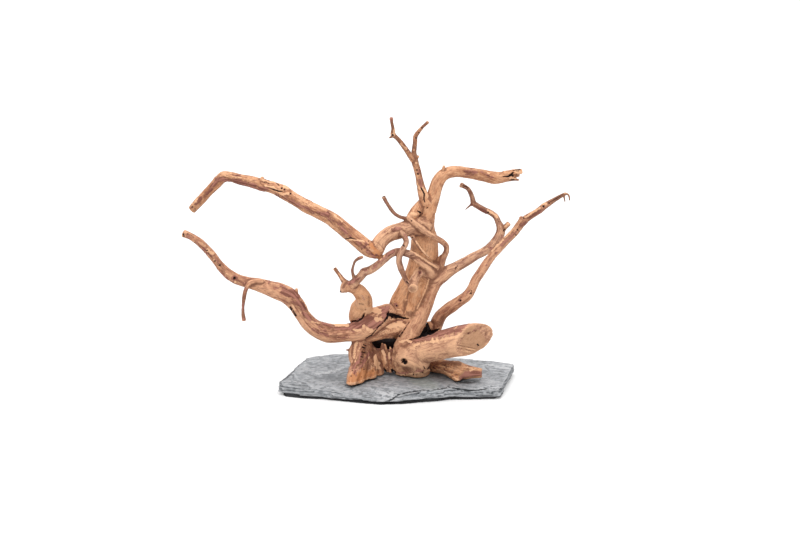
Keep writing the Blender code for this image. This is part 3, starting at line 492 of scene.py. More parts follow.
ROOT_MARKS: Marks = (
    (("left_branch",), (
        crack_and_shadow((-216.5, 166, 0.8), (-216, 163.5, 0.8), rise=-0.4), bark((-212.5, 166, 0.8)),
        bark((-207, 163, 1.2)), bark((-202.5, 158, 1.2)),
        bark((-215.5, 165, 1), (-210, 162, 1), ragged=1.2, strength=0.8),
        bark((-196, 151, 1.2), (-191, 144.5, 1.2), ragged=1.3),
        bark((-187, 145, 0.9), (-182, 137.5, 1.1), ragged=1.2),
        bark((-184, 131, 1.1), (-178, 125, 1.1), (-172, 121, 0.9), ragged=1.2),
        bark((-160, 118.5, 0.8), (-150, 115, 0.9), ragged=1.2, strength=0.8),
        fleck((-186.5, 141, 0.7), (-183, 136.5, 0.6), strength=0.8),
        fleck((-176, 128, 0.7), (-171, 124.6, 0.7), strength=0.8),
        bark((-128, 113, 0.7), (-122, 112, 0.8), strength=0.8),
        bark((-89, 72, 1.2), (-80, 67, 1.4), (-70, 64, 1.2), ragged=1.4, strength=0.7),
        fleck((-88, 78.5, 0.8), (-80, 76.6, 0.8), strength=0.7),
        bark((-62, 62.5, 0.9), (-52, 63, 1), ragged=1.2, strength=0.7),
        fleck((-201, 158, 1.4), (-195, 154, 1.6), strength=0.5),
        fleck((-192, 149.5, 2), (-187, 146.5, 1.8), strength=0.7),
        brown((-204, 157, 0.8), (-193, 149, 1.2), (-188, 143, 1.8), (-184, 138, 1.8), (-180, 134.5, 1.6),
            (-176, 129, 1.4)),
        crack_and_shadow((-193, 149.5, 0.8)), crack_and_shadow((-180, 134.6, 0.9)), crack_and_shadow((-185, 139, 0.8)),
        bark((-165.5, 122, 3.2), rise=0.5, ragged=0.3), crack_and_shadow((-165.5, 122, 1.4), rise=-1.2),
        fleck((-168.5, 124, 0.8)), fleck((-165, 118, 1.2)), bark((-152, 118, 0.7), (-145, 117.5, 0.8)),
        bark((-140.5, 120, 0.8)), bark((-136, 118.5, 0.7)), bark((-131, 118, 1.1)),
        bark((-119, 114.5, 1.5), (-116, 113, 1.5)),
        bark((-116, 108, 3.5), (-106, 106.5, 4), (-103, 103, 2.5), ragged=1.5),
        bark((-109, 98.5, 1), (-105, 97.5, 1)), bark((-102, 98, 3), (-96, 92, 3.2), ragged=1.5),
        bark((-97, 87, 2), (-91, 82, 2.6), (-90, 80.5, 1.5)),
        fleck((-104, 112, 1), (-97, 102, 1), (-90, 87, 1.2), strength=0.7),
        crack_and_shadow((-110, 93, 0.8), (-108.5, 90.5, 1), rise=-1.6),
        crack_and_shadow((-107, 89, 0.6), (-104.5, 84.5, 1), rise=-1.8), fleck((-109, 97, 0.6), (-105, 90, 0.7)),
        bark((-86, 79, 1.5), (-82, 76.5, 1.5)), bark((-80.5, 73.5, 1.3)), bark((-78, 77, 1.2), (-70, 74, 2)),
        bark((-75, 70, 1.4)), fleck((-65, 76, 1.6), (-57, 75, 1.4), (-52, 74.5, 1.4)),
        bark((-68, 72.5, 1.2), (-58, 71.5, 1.5), (-50, 72.5, 2.6), ragged=1.2),
    )),
    (("left_branch", "rising_stub", "back_trunk"), (
        bark((-50, 76, 2.4), (-43, 75.5, 4.6), (-37, 78, 4.5), ragged=1.4),
        bark((-38, 79, 3.5), (-30, 82, 3.5), (-26, 76, 5.5), (-20, 78.5, 3.5), ragged=1.4),
        bark((-18, 90, 3), (-15, 84, 3.2), (-12, 93, 1.6), ragged=1.0), bark((-46.5, 68.5, 1.4)),
        fleck((-35, 88.5, 1.6), (-28, 90, 3.2), (-22, 88, 2.6), ragged=1.4),
        fleck((-24, 80.5, 2), (-19, 80.5, 1.6), ragged=1.2), fleck((-36.5, 74, 1.6)),
        fleck((-25, 91.5, 1.6), (-20, 90, 1.4), ragged=1.2),
        fleck((-33, 70.5, 1.2), (-28, 69, 1.4), ragged=1.2),
        fleck((-46, 70, 1), (-40, 69.5, 1.4), strength=0.7),
        crack_and_shadow((-41, 96.2, 0.3), (-36.5, 95.8, 0.4), rise=-0.4),
    )),
    ((), (
        # Painted shadow in the gap between the rising stub's hip and the left branch in front of it.
        crack_and_shadow((-48, 78.5, 0.6), (-42, 79, 0.9), (-38.5, 81.2, 1), (-36, 85, 0.9), (-35.2, 87, 0.4),
            rise=-2.6),
        crack_and_shadow((-34, 62, 0.4), (-28, 65, 0.6), (-22, 73, 0.6), (-16, 78, 0.8), (-13, 82, 1.2),
            (-11, 88.5, 0.5), rise=-2.6),
        crack_and_shadow((-12.6, 86, 1.6), (-9.5, 85, 2.6), (-4, 83.8, 2.2), (2, 82.4, 1), (9, 81.4, 0.5), rise=-3.2,
            ragged=1.1),
        fleck((-9, 80.4, 0.6), (-6, 81.2, 0.8), strength=0.8),
        brown((-3, 86.5, 1.2), (4, 85, 1.6), (10, 84, 1.4), strength=0.8),
        crack_and_shadow((9, 78, 0.3), (5, 72, 0.5), (2, 67, 0.7), (-1, 63.5, 0.6), rise=-2),
        fleck((0, 58, 1.2), (6, 59.5, 1.3), (11, 58.5, 0.8), ragged=1.2),
    )),
    (("front_trunk", "trunk_web", "crotch_web", "right_branch", "big_log"), (
        crack_and_shadow((9, 60, 0.3), (14, 61, 0.5), (20, 63.2, 1), (24, 67, 2.6), (25, 72, 1.2), rise=-2),
        crack_and_shadow((24, 66, 3), (28, 69, 3.4), (27, 76, 1.4), rise=-0.8),
        crack_and_shadow((30, 67, 2.4), (37, 70, 1.4), rise=-0.8),
    )),
    (("crotch_web", "right_branch", "trunk_web"), (
        crack_and_shadow((24, 66, 2.2), (32, 67.5, 1.6), (39, 71, 0.7), rise=-1.5, ragged=0.3),
        fleck((26.6, 84, 0.5), (27.2, 71, 0.7), strength=0.8), brown((31, 80, 2), (38, 76, 3.5), (34, 71, 3)),
        brown((43, 82, 2), (40, 76, 2.5)),
    )),
    (("cavity_back",), (
        # Painted shade: the cavity's back wall is near-black, as the shade deep inside the cavity.
        Mark(Marking.DARK, ((-30, 54.5, 6.5), (4, 55, 7)), 0, 0.4, 1),
    )),
    (("back_trunk", "trunk_web", "shoulder"), (
        bark((-4, 95, 1.9), (-2.3, 94, 1.4)), crack_and_shadow((-3.4, 94.4, 0.8), rise=-0.6),
        fleck((6.5, 99.8, 1), strength=0.6), fleck((-10, 92, 1.6), (-5, 90, 1.2), (1, 90, 1), ragged=1.2),
        brown((10, 154, 3), (17, 150, 4.5), (17, 143, 4), (12, 140, 2.5), strength=0.45),
        brown((22, 163, 3), (27, 158, 4), (31, 150, 2.5), (30, 142, 2), strength=0.35),
        brown((27, 150, 2.2), (26, 141, 1.8), strength=0.45),
        brown((34, 130, 1.6), (30, 122, 1.2), strength=0.4),
        brown((1, 113, 1.2), (6, 108, 1.8), (12, 116, 2), strength=0.35),
        brown((8, 86, 3), (14, 84.5, 3), strength=0.8), fleck((5, 120, 1.6), (8, 128, 1.4), strength=0.35),
        fleck((9, 100, 1), (7, 93, 1.2), strength=0.35),
        fleck((31, 144, 1), (33, 136, 1.2), (35, 131, 0.8), strength=0.4), crack_and_shadow((27, 192.5, 1.1)),
        crack_and_shadow((20, 187.5, 1), (18, 189, 0.6)), crack_and_shadow((22, 186, 0.6)), crack_and_shadow((40, 147, 1), rise=-0.7),
        crack_and_shadow((41.6, 141.5, 0.7)), crack_and_shadow((42, 136, 1.1), (42.3, 134.5, 0.6)), crack_and_shadow((39.5, 129, 0.7)),
        crack_and_shadow((41, 131.5, 0.5)), crack_and_shadow((39, 139.5, 0.6)), fleck((12, 186, 2), (16, 186, 1.5)),
        fleck((20, 174.5, 2), (21, 172, 2), strength=0.7),
        Mark(Marking.RUST, ((14, 181, 1.6), (19, 180, 1.2)), 0, 1.2, 0.8, 0.6),
    )),
    (("left_twig",), (
        bark((-154, 112, 1), (-155.5, 105, 0.8), strength=0.7), bark((-157, 96, 0.8), (-157, 90, 0.9)),
        fleck((-155.5, 100, 0.6), strength=0.6), bark((-156, 81, 1.2), strength=0.8),
    )),
    (("rising_stub",), (
        fleck((-41, 93, 1.2), (-42, 100, 1), strength=0.6), brown((-31, 95, 1.2), (-31, 103, 1)),
        bark((-36, 101, 1), (-37.5, 104, 0.8)),
        fleck((-42, 85, 6), (-40, 93, 7), (-37, 102, 4), rise=0.0, ragged=2.0, strength=0.5),
    )),
    (("bar",), (
        fleck((-16, 73.5, 1.8), (-8, 75, 2.6), (2, 75.5, 2.4), (6, 74.5, 1.3), ragged=1.4),
        fleck((-21, 66.5, 2), (-6, 70, 3), (3, 72, 2), strength=0.5),
        fleck((-22, 68, 1.4), (-8, 69, 1.6), (-1, 70, 1.2), strength=0.5),
        bark((-15, 77, 0.6), (-8, 79.3, 0.9), (2, 79.5, 0.9), (8, 78.8, 0.7), rise=0.25),
        bark((-10, 77, 0.6)), bark((-4.5, 77.3, 0.7)), bark((1, 76.8, 0.6)),
        brown((-28, 62, 1), (-14, 64.5, 1.4), (-2, 66, 1.2), strength=0.6),
    )),
    (("front_trunk", "trunk_web"), (
        # A raised ridge down the front trunk, with a painted highlight along its crest.
        fleck((29, 121, 0.5), (26, 112, 0.6), (23, 104, 0.5), (17, 91, 0.5), rise=0.5, ragged=0.4,
            strength=0.75),
        fleck((15, 77, 1.8), (19, 84, 1.2), strength=0.45), fleck((13, 66, 1.4), (11, 71, 1), strength=0.4),
        brown((31, 100, 1.4), (27, 88, 1.6), (24, 80, 1.4), strength=0.35),
        brown((12, 74, 1.4), (8, 66, 2.2), (6, 60, 2), strength=0.45),
        brown((27, 96, 0.8), (25.5, 87, 0.8), strength=0.45),
    )),
    (("big_log",), (
        bark((9, 57, 1), (12, 58.5, 1.4), (22, 61, 2.4), (34, 65.5, 3.6), (46, 69.5, 4.4), (58, 72.5, 4.6),
            (66, 77, 2.4), rise=0.3, ragged=2.0),
        bark((24, 60, 0.5), (24.4, 56.5, 0.4)), bark((29, 62, 0.5), (29.5, 58, 0.4)),
        bark((39, 65, 0.6), (39.6, 60.5, 0.4)), bark((43.5, 66, 0.5), (44, 62.5, 0.4)),
        bark((49, 68, 0.6), (49.6, 63.5, 0.4)), bark((55, 70, 0.5), (55.4, 65.5, 0.4)),
        fleck((32.5, 61.5, 0.9), (33, 57.5, 0.8)), fleck((36.5, 61, 0.8), (37, 58.5, 0.6), strength=0.8),
        fleck((14, 54, 1.3), (19, 56, 1.1), ragged=1.0), fleck((11, 52, 1.4), (15, 50.5, 1), strength=0.6),
        fleck((22, 56.5, 0.9), (42, 60, 1.3), (55, 62, 1.6), (63, 63.5, 1.4), strength=0.6, ragged=1.6),
        fleck((54, 71, 0.7), (58, 74.5, 0.6), strength=0.6),
        fleck((44, 74, 0.6), (50, 76, 0.8), strength=0.6),
        brown((14, 46, 1), (30, 47, 1.2), (52, 50, 1), strength=0.25),
        brown((12, 41.5, 1), (26, 40.5, 1.5), (44, 43, 1.2), strength=0.4),
        Mark(Marking.CUT, ((72, 66, 8), (73, 57, 12.5), (68, 50, 6)), 0, 0.5, 0.6, 0.9),
        crack_and_shadow((57, 54.8, 0.3), (66, 53.3, 0.45), (76.5, 50.8, 0.3), rise=-0.5, strength=0.7),
        crack_and_shadow((59, 52.6, 0.3), (70, 49.5, 0.4), (76, 48.5, 0.2), rise=-0.4, strength=0.6),
        crack_and_shadow((62, 56.8, 0.3), (72, 54.8, 0.3), rise=-0.3, strength=0.5),
        fleck((57, 53.4, 0.5), (66, 52, 0.6), (77, 49.6, 0.5), strength=0.7),
        fleck((58, 50.3, 0.6), (72, 47.2, 0.7), strength=0.6),
        fleck((66, 59, 1.5), (76, 58, 2), strength=0.3),
        bark((63.5, 66.5, 0.8), (69, 67, 1.4), (74, 69.5, 1.6), (79, 71, 1.2), rise=-0.1, ragged=0.9,
            strength=0.55),
        crack_and_shadow((64.5, 66, 0.4), (68.5, 66.3, 0.9), (72, 67.5, 0.5), rise=-0.2, strength=0.55),
        crack_and_shadow((77.6, 55.6, 0.9), (78.8, 54.4, 0.8), rise=-0.5, strength=0.85),
        brown((77, 50, 0.7), (78, 54, 0.8), strength=0.6),
    )),
    (("base_knob", "base_lip", "base_front", "foot_bridge", "foot_fold_left", "foot_fold_right", "big_log"), (
        crack_and_shadow((3.4, 38.8, 2.6), (5.2, 37.6, 2.3), rise=-6, ragged=0.25),
        fleck((-3, 45, 1.2), (-5.5, 38, 1.2), (-3, 31, 1.6), strength=0.5),
        fleck((0.2, 36, 0.6), (3, 34.3, 0.7), (6.8, 35, 0.6), strength=0.5, ragged=0.3),
        crack_and_shadow((23.6, 33.4, 0.5), (24.6, 31.6, 0.8), rise=-1, ragged=0.4, strength=0.8),
        # Painted shadow between the log and the right foot.
        crack_and_shadow((27.5, 31, 0.6), (31, 34.6, 1.4), (36, 37.4, 1.6), (44, 39.6, 1.1), (54, 41, 0.6), rise=-0.8,
            ragged=0.5, strength=0.85),
        brown((0, 25.5, 1.2), (12, 26, 1.2), (24, 28, 1.5), strength=0.5),
        brown((10, 36, 0.8), (13, 29, 1), strength=0.4), brown((17, 38, 0.8), (18, 30, 1), strength=0.4),
        fleck((14, 35, 1.2), (15, 30, 1), strength=0.5), fleck((20, 36, 1.2), (21.5, 31, 1), strength=0.5),
        fleck((-9, 26.6, 0.5), (-2, 25.4, 0.6), rise=0.3), fleck((1, 25.2, 0.9), (5, 24.8, 0.7), rise=0.4),
        fleck((7, 25.4, 0.8), (12, 26.2, 0.9), rise=0.4), fleck((15, 26.6, 0.5), (19, 27.4, 0.7), rise=0.3),
        fleck((25, 28.6, 1), (30, 29.6, 0.8), rise=0.4, ragged=0.9), bark((5, 27.5, 0.7)),
        bark((12, 28.4, 0.8)), bark((18, 29.4, 0.7)), bark((21, 31, 0.8)), crack_and_shadow((3, 24.4, 0.5), rise=-0.9),
        crack_and_shadow((13.6, 25.4, 0.6), rise=-0.9), crack_and_shadow((22.4, 27.4, 0.7), rise=-0.9),
        bark((-1, 27, 0.8), (8, 26.8, 0.7), ragged=1.2), bark((15, 27.6, 0.8), (24, 30, 0.9), ragged=1.2),
        brown((-14, 49, 2.4), (-9, 47, 2.6), (-4, 46, 2), strength=0.8),
        bark((-20, 51, 1.6), (-14, 52, 1.4), (-9, 50, 1.6), ragged=1.2), bark((-16, 45, 0.8), (-12, 42, 1)),
        bark((-8.5, 42, 0.9), (-9.5, 37, 0.8)), fleck((-17.5, 50, 1.2), (-15.5, 45, 1.2), (-14.6, 38, 0.8)),
        fleck((-11, 47, 1), (-10.5, 42, 1)), crack_and_shadow((-16.5, 31, 1.4), (-15, 28.5, 1.8), rise=-1.2, ragged=0.5),
        crack_and_shadow((-8, 30, 1.2), (-5.5, 27.5, 1.4), rise=-1.2, ragged=0.5),
        brown((-14.5, 40, 0.6), (-13.5, 33, 0.7)), fleck((-13, 38, 0.5), (-12, 31, 0.6), strength=0.6),
        fleck((-7, 41, 0.6), (-8.5, 33, 0.7), strength=0.5), brown((-5, 42, 0.7), (-6, 35, 0.8)),
    )),
    (("left_toe_outer", "left_toe_middle", "left_toe_inner", "toe_web_outer", "toe_web_inner",
      "left_toe_spur", "left_toe_flare"), (
        Mark(Marking.RUST, ((-50, 20, 2), (-44, 22.5, 5), (-36, 26, 5), (-26, 27, 3)), 0, 3, 3),
        brown((-48, 24, 1.2), (-41, 25, 1), (-35, 29, 1.2), strength=0.4),
        brown((-33, 24, 0.9), (-25, 27, 0.9), strength=0.35),
        bark((-45, 29, 1.8), (-45.5, 26.5, 1.4), ragged=0.8, strength=0.8),
        bark((-44.6, 25, 1), strength=0.6),
        brown((-33, 52, 3.5), (-30, 46, 5), (-30, 38, 5.5), (-33, 33, 4), strength=0.6),
        bark((-30, 49, 1.2), (-33, 42, 1.6), (-38, 35, 1.6), (-43, 30, 1.2), ragged=1.5, strength=0.8),
        fleck((-30.5, 44, 0.7), (-34, 37, 0.8), strength=0.6),
        fleck((-27.5, 37, 0.8), (-29, 31, 0.9), strength=0.6),
        brown((-37, 46, 2.4), (-39.5, 37, 2.8), (-44, 33, 1.8), strength=0.8),
        bark((-39, 46, 1), (-41, 39, 1.3), (-45, 34.5, 1.5), (-49, 31, 1.4), ragged=1.4),
        crack_and_shadow((-36.5, 55.5, 0.5), (-34, 54, 0.5), strength=0.8),
        crack_and_shadow((-37.4, 52.8, 0.7), (-35, 51.8, 0.7), rise=-1, strength=0.8),
        crack_and_shadow((-36.5, 50.2, 0.4), (-34, 50, 0.4), strength=0.7),
        crack_and_shadow((-38, 48, 0.5), (-35, 47.5, 0.7), rise=-1, strength=0.8),
        crack_and_shadow((-38, 45.6, 0.4), (-36, 45.2, 0.4), strength=0.7),
        crack_and_shadow((-39, 43.4, 0.7), (-37, 42.8, 0.6), rise=-0.8, strength=0.8),
        crack_and_shadow((-40, 40.8, 0.4), (-38.4, 40.5, 0.4), strength=0.7),
        crack_and_shadow((-40.4, 38, 0.5), (-38, 37.6, 0.4), rise=-0.6, strength=0.7),
        fleck((-43.5, 57, 1.6), (-45.5, 50, 1.8), (-46, 42, 1.6), strength=0.6),
        fleck((-31, 57, 1.2), (-36, 58.5, 1.2), strength=0.5),
        fleck((-42.5, 45, 0.6), (-45, 38.5, 0.7), strength=0.8),
        fleck((-40.6, 52, 0.6), (-42, 48, 0.6), strength=0.7),
        fleck((-23, 47, 1.8), (-24, 40, 2.6), (-22, 33, 2.2), strength=0.95, ragged=1.1),
        fleck((-27, 41, 0.7), (-26, 33, 0.8), strength=0.5), brown((-20, 42, 0.8), (-19, 34, 0.9)),
        bark((-21.5, 45, 0.8)), bark((-27.5, 47, 0.9), (-29.5, 43, 0.8), strength=0.7),
        bark((-31, 36, 0.9), strength=0.7),
        fleck((-53, 17, 0.6), (-46, 17, 0.5), (-34, 21, 0.5), (-22, 25.3, 0.7), strength=0.55, rise=0.4,
            ragged=0.6),
        crack_and_shadow((-30, 31.5, 0.5)), crack_and_shadow((-33, 27.5, 0.5)), crack_and_shadow((-27, 29, 0.5)), crack_and_shadow((-38.5, 23, 0.45)),
        crack_and_shadow((-49, 24, 0.5)), crack_and_shadow((-36, 30.5, 0.5)), crack_and_shadow((-24, 30, 0.5)), crack_and_shadow((-42, 20, 0.45)),
        crack_and_shadow((-47.5, 29.5, 0.45)),
    )),
    (("right_foot", "right_foot_point"), (
        Mark(Marking.CUT, ((60, 21.5, 2.4), (66, 25.5, 4.4), (74, 27, 4.4), (81, 27, 3)), -0.3, 0.4, 0.6),
        bark((60.5, 21, 1.6), (66, 25, 3.4), (72, 26.4, 3.6), (79, 26.8, 2.8), rise=0.0, ragged=1.1,
            strength=0.8),
        bark((80, 25, 1.2), (81.5, 27.5, 1.2), rise=-0.2, ragged=0.6),
        fleck((70, 29.5, 0.7), (76, 31.3, 0.7)),
        brown((36, 37, 2), (50, 37.5, 2.5), (60, 35.5, 2), strength=0.8),
        brown((40, 31, 1.6), (52, 28, 1.6), strength=0.7), brown((47, 34.5, 1), (60, 31, 1.2), strength=0.5),
        fleck((42, 33.8, 0.6), (52, 31.5, 0.7), (60, 28, 0.6), strength=0.6),
        fleck((38, 30.5, 0.6), (47, 28, 0.7), strength=0.6),
        fleck((62, 33.5, 0.7), (72, 31.5, 0.7), strength=0.7),
        fleck((53, 23, 0.7), (58, 20.3, 0.9), strength=0.8),
        crack_and_shadow((41, 35, 0.3), (50, 32.6, 0.35), (56, 30, 0.3), strength=0.6),
        crack_and_shadow((44, 30, 0.3), (52, 26.6, 0.35), strength=0.6),
        crack_and_shadow((33, 32.5, 0.6), (36, 31, 0.5), rise=-0.6, ragged=0.5, strength=0.7), bark((34, 34, 0.8)),
        bark((38, 33, 0.7)),
    )),
    (("back_foot",), (
        brown((4, 60, 6), (9, 36, 6), strength=0.4),
    )),
    (("upper_left_arm", "upper_left_nub"), (
        Mark(Marking.CUT, ((-207.5, 192, 3.6),), 0, 0.5, 0.6, 0.7), crack_and_shadow((-207.5, 193, 0.9), strength=0.7),
        crack_and_shadow((-205, 191, 0.6), strength=0.6), fleck((-208, 196.5, 0.8)),
        fleck((-205, 198.5, 1.4), (-203, 201, 1.2), strength=0.6), brown((-200, 198, 1.4), (-199, 200, 1.2)),
        brown((-196, 204, 1.6), (-193, 209, 1.8), (-191, 210, 1.2)), bark((-187, 214.5, 2), (-184, 218, 1.6)),
        bark((-185, 221.5, 1.4), (-178, 220.8, 2.4), (-172, 219.5, 1.6), ragged=1.2),
        fleck((-178, 227, 1.2), (-169, 226.5, 1.2), strength=0.6), bark((-164, 225, 0.9), (-160, 224.8, 0.7)),
        brown((-170, 220.5, 1.5), (-160, 219.5, 1.9), (-152, 216.5, 2)),
        bark((-151, 216, 1.6), (-144, 214.5, 1.5)),
        bark((-168, 221, 1.2), (-158, 218, 1.4), (-148, 215.5, 1.4), ragged=1.3, strength=0.8),
        bark((-165, 217.6, 0.9), (-150, 213, 1.2), (-137, 209.6, 1.2), ragged=1.2),
        bark((-124, 206, 0.9), (-112, 200, 1.3), (-100, 194.5, 1.3), (-92, 191, 1), ragged=1.4, strength=0.7),
        bark((-205, 195.5, 1.1), (-199, 203, 1.1), ragged=1.2, strength=0.8),
        bark((-193, 206, 1.5), (-188, 211.5, 1.3), ragged=1.2), bark((-208, 192, 1.3), strength=0.8),
        fleck((-176, 224, 0.8), (-160, 222.4, 0.7), (-149, 220, 0.7), strength=0.6),
        fleck((-86, 196.5, 0.8), (-76, 190.5, 0.9), strength=0.6),
        bark((-82, 188, 0.9), (-74, 184.5, 1.2), (-67, 179, 1.2), ragged=1.3, strength=0.8),
        bark((-62, 176, 1.2), (-56, 169, 1.4), (-50, 163, 1.2), ragged=1.4, strength=0.8),
        bark((-46, 161, 1.2), (-40, 157, 1.6), ragged=1.4, strength=0.8),
        fleck((-66, 185, 0.8), (-58, 178.5, 0.7), strength=0.7), bark((-141, 212.5, 1.8), (-133, 211, 1.8)),
        brown((-145, 219, 0.9), (-139, 217.5, 1.2)),
        fleck((-137, 220, 1), (-130, 217.5, 0.8), (-124, 219, 1.2), rise=0.6),
        fleck((-135, 214.3, 0.7), (-127, 212.3, 0.9), (-120, 208.8, 0.7), rise=0.7),
        crack_and_shadow((-131, 212, 0.3), (-126, 210.4, 0.6), (-121, 208.8, 0.8), (-118, 208.5, 0.5), rise=-1.3),
        crack_and_shadow((-118.3, 211.8, 1)), crack_and_shadow((-115.5, 210.5, 0.8)), crack_and_shadow((-136, 217.7, 0.4), (-131, 216.7, 0.4)),
        crack_and_shadow((-124, 217.7, 0.4), (-121, 214.7, 0.4)), fleck((-116, 213.5, 1.2), (-112, 211.5, 1)),
        fleck((-118, 205.8, 1), (-112, 206.5, 1.4)), crack_and_shadow((-109.5, 206.3, 0.9)),
        # A painted highlight along the top of the upper left arm.
        fleck((-106, 207, 2), (-92, 197, 2.4), (-75, 192, 2), strength=0.5, ragged=1.4),
        brown((-124, 205.3, 0.8), (-112, 201.5, 2.2), (-104, 196.5, 2.4), (-96, 193, 2.2), (-88, 187.5, 2.4),
            (-80, 186, 2.8), (-72, 184, 3.2), (-66, 178, 3.4), (-58, 170, 3.6), (-52, 164.5, 3),
            strength=0.6),
        bark((-91, 190.5, 1.4)), bark((-86.5, 187.5, 1.2)), bark((-79, 186, 1.6), (-72, 186, 2)),
        bark((-58, 176, 1)), bark((-50, 171, 0.9)),
        crack_and_shadow((-55, 161, 0.4), (-49, 162, 0.7), (-44, 160.5, 0.4), strength=0.85),
        fleck((-50, 160.5, 0.6), (-36, 158.8, 0.8)), brown((-47, 159, 1), (-41, 154.5, 2.6), (-36, 152, 2.6)),
        bark((-36, 152.5, 1.8), (-34, 156, 1.6), ragged=1.2), crack_and_shadow((-36, 152.5, 0.7)),
        crack_and_shadow((-38.4, 150.6, 0.6)), crack_and_shadow((-31.5, 159, 0.5)), crack_and_shadow((-31, 155.5, 0.45)),
        crack_and_shadow((-30.5, 152, 0.45)), crack_and_shadow((-33, 149.4, 0.5)),
        bark((-33.5, 149.4, 0.9), (-29, 146.2, 1.1), (-25, 142, 1), ragged=1.2), crack_and_shadow((-28, 145.4, 0.4)),
        Mark(Marking.RUST, ((-29, 155, 2), (-24, 149, 4), (-22, 144, 3)), 0, 1.3, 1, 0.85),
        bark((-23.5, 145.5, 1.2), (-21.5, 143.5, 1)),
    )),
    (("left_limb", "upper_left_arm", "shoulder"), (
        crack_and_shadow((-29, 160, 0.3), (-22, 157, 0.4), (-16, 151, 0.4), (-15, 146, 0.3), rise=-0.6, strength=0.5),
        bark((-15, 168, 1.6), (-13, 167, 1.4), strength=0.6),
        bark((-7, 170, 2), (-3, 171.5, 2), (0, 172, 1.6), strength=0.8),
        crack_and_shadow((-9, 168, 0.5), (0, 169.5, 0.6), strength=0.5),
        brown((-20, 160, 1.6), (-24, 152, 1.6), strength=0.4),
    )),
    (("right_arm", "right_arm_spur", "arm_splinter_top", "arm_splinter_low"), (
        bark((64, 229, 1), (68, 228, 1.2)), bark((70, 229, 1.2), (76, 228, 1.3), ragged=1.3),
        bark((66, 225.5, 0.8), (73, 224.8, 1.2), ragged=1.3, strength=0.6),
        bark((81, 228, 0.9), (87, 225.5, 1.4), (89, 224, 1), strength=0.9),
        bark((91, 223.3, 1), (94, 223, 0.8), strength=0.8), fleck((87, 227.4, 0.8), (89, 226.6, 1)),
        crack_and_shadow((86.5, 224.8, 0.4), (89.5, 223.8, 0.5), rise=-0.4),
        crack_and_shadow((103, 223.3, 0.4), (109, 223.6, 1), (113, 227.4, 0.9), rise=-1.6),
        crack_and_shadow((110, 225, 0.6), (114, 224.4, 1), (118, 223.6, 0.8), rise=-1.6),
        crack_and_shadow((115.5, 231, 0.7), (120, 230.7, 0.6)), crack_and_shadow((111, 220, 0.6), (114, 220.3, 0.7)),
        fleck((116, 228.5, 2), (121, 227, 2)), fleck((110, 221.6, 0.8), (118, 221.8, 0.7)),
        crack_and_shadow((113, 229.4, 0.4), (119, 229, 0.4)),
        brown((42, 215, 2), (44, 205, 2), (38, 195, 2), strength=0.5),
        brown((52, 222.5, 1), (75, 220.5, 1.2), strength=0.35),
        fleck((44, 231, 1), (60, 233, 1), (80, 229, 1), strength=0.35, ragged=1.4),
        brown((34, 219, 2), (33, 208, 2.2), (31, 198, 1.6), strength=0.35),
    )),
    (("top_stem", "top_stem_bud"), (
        crack_and_shadow((22, 272, 0.8)), crack_and_shadow((19, 267, 0.7)), crack_and_shadow((16, 262, 0.7)), crack_and_shadow((17, 230, 0.9)),
        crack_and_shadow((18, 226, 0.9)), bark((20, 220, 1.8), (22, 213, 1.8)), bark((15.5, 228.5, 0.9), strength=0.7),
        bark((18.5, 230, 1), (19, 227, 1)),
        crack_and_shadow((21, 212, 0.5), (22.5, 209.5, 0.7), (24.3, 206, 0.9), (24, 201, 0.7), (24.5, 198, 0.5),
            rise=-1),
        fleck((17, 216, 0.8), (20, 211, 0.8)), fleck((26, 210, 1.2), (28, 203, 1.3), strength=0.8),
        fleck((16, 237, 0.9)), fleck((23, 212.5, 0.5), (25.5, 207, 0.5)),
        fleck((13.5, 250, 0.9), strength=0.5), bark((17, 233, 0.8), strength=0.7),
        brown((20, 262, 1), (24, 270, 1)), crack_and_shadow((22.5, 200, 0.5)),
    )),
    (("top_stem_left", "top_stem_tine"), (
        crack_and_shadow((-7.2, 265, 1), rise=-0.4), bark((-8, 278, 1), (-8.5, 282, 1.4)),
        fleck((-5, 271, 1.2), (-6, 266, 1.2)), fleck((1, 256, 1), (6, 251, 1), strength=0.6),
        brown((-2, 259, 0.6), (4, 249, 0.8), (9, 242, 0.8)), bark((9.5, 247.8, 0.6)), bark((6.5, 252, 0.5)),
    )),
    (("right_limb", "right_limb_stub", "right_limb_spur"), (
        bark((62, 216, 0.8)), bark((65, 212.5, 0.9)), crack_and_shadow((68, 212, 0.8), strength=0.8),
        crack_and_shadow((63, 214.4, 0.35), (67, 213, 0.35)), bark((71.5, 195.5, 1.3)),
        brown((75, 194, 1.2), (78, 192.5, 1.3)), bark((80, 191, 1.5), (86, 187.5, 1.6)),
        crack_and_shadow((88, 187.5, 0.9)), fleck((88, 189.5, 0.8), (97, 183, 1)),
        bark((98.5, 179, 0.7), (99.5, 175, 0.7)), crack_and_shadow((104.5, 171, 0.6), (103.5, 169, 0.5)),
        fleck((106, 174, 1.2), (108, 176.5, 1), strength=0.8), crack_and_shadow((109, 177.5, 0.6)),
        bark((89, 154, 1), (92, 151, 1.2)), bark((101.5, 165, 0.8), (102.5, 161.5, 0.8)),
        crack_and_shadow((56, 132.5, 0.8)), crack_and_shadow((55.5, 131, 0.7)), crack_and_shadow((57.4, 134, 0.5)),
        bark((56, 132, 1.8), strength=0.5), brown((60, 131, 1), (76, 140, 1.2), (86, 146, 1), strength=0.45),
        fleck((48, 133, 1), (66, 143.5, 1), (84, 152.5, 0.9), strength=0.5),
        fleck((42, 130.5, 1.2), (46, 131.5, 0.9), strength=0.7), crack_and_shadow((40, 129, 0.6)),
    )),
    (("right_branch", "right_branch_bump", "right_tip_rootlet", "crotch_web"), (
        bark((60.5, 99.5, 2.2), ragged=0.4, strength=0.6), crack_and_shadow((60.5, 99.5, 1.1)), bark((68, 108, 1.2)),
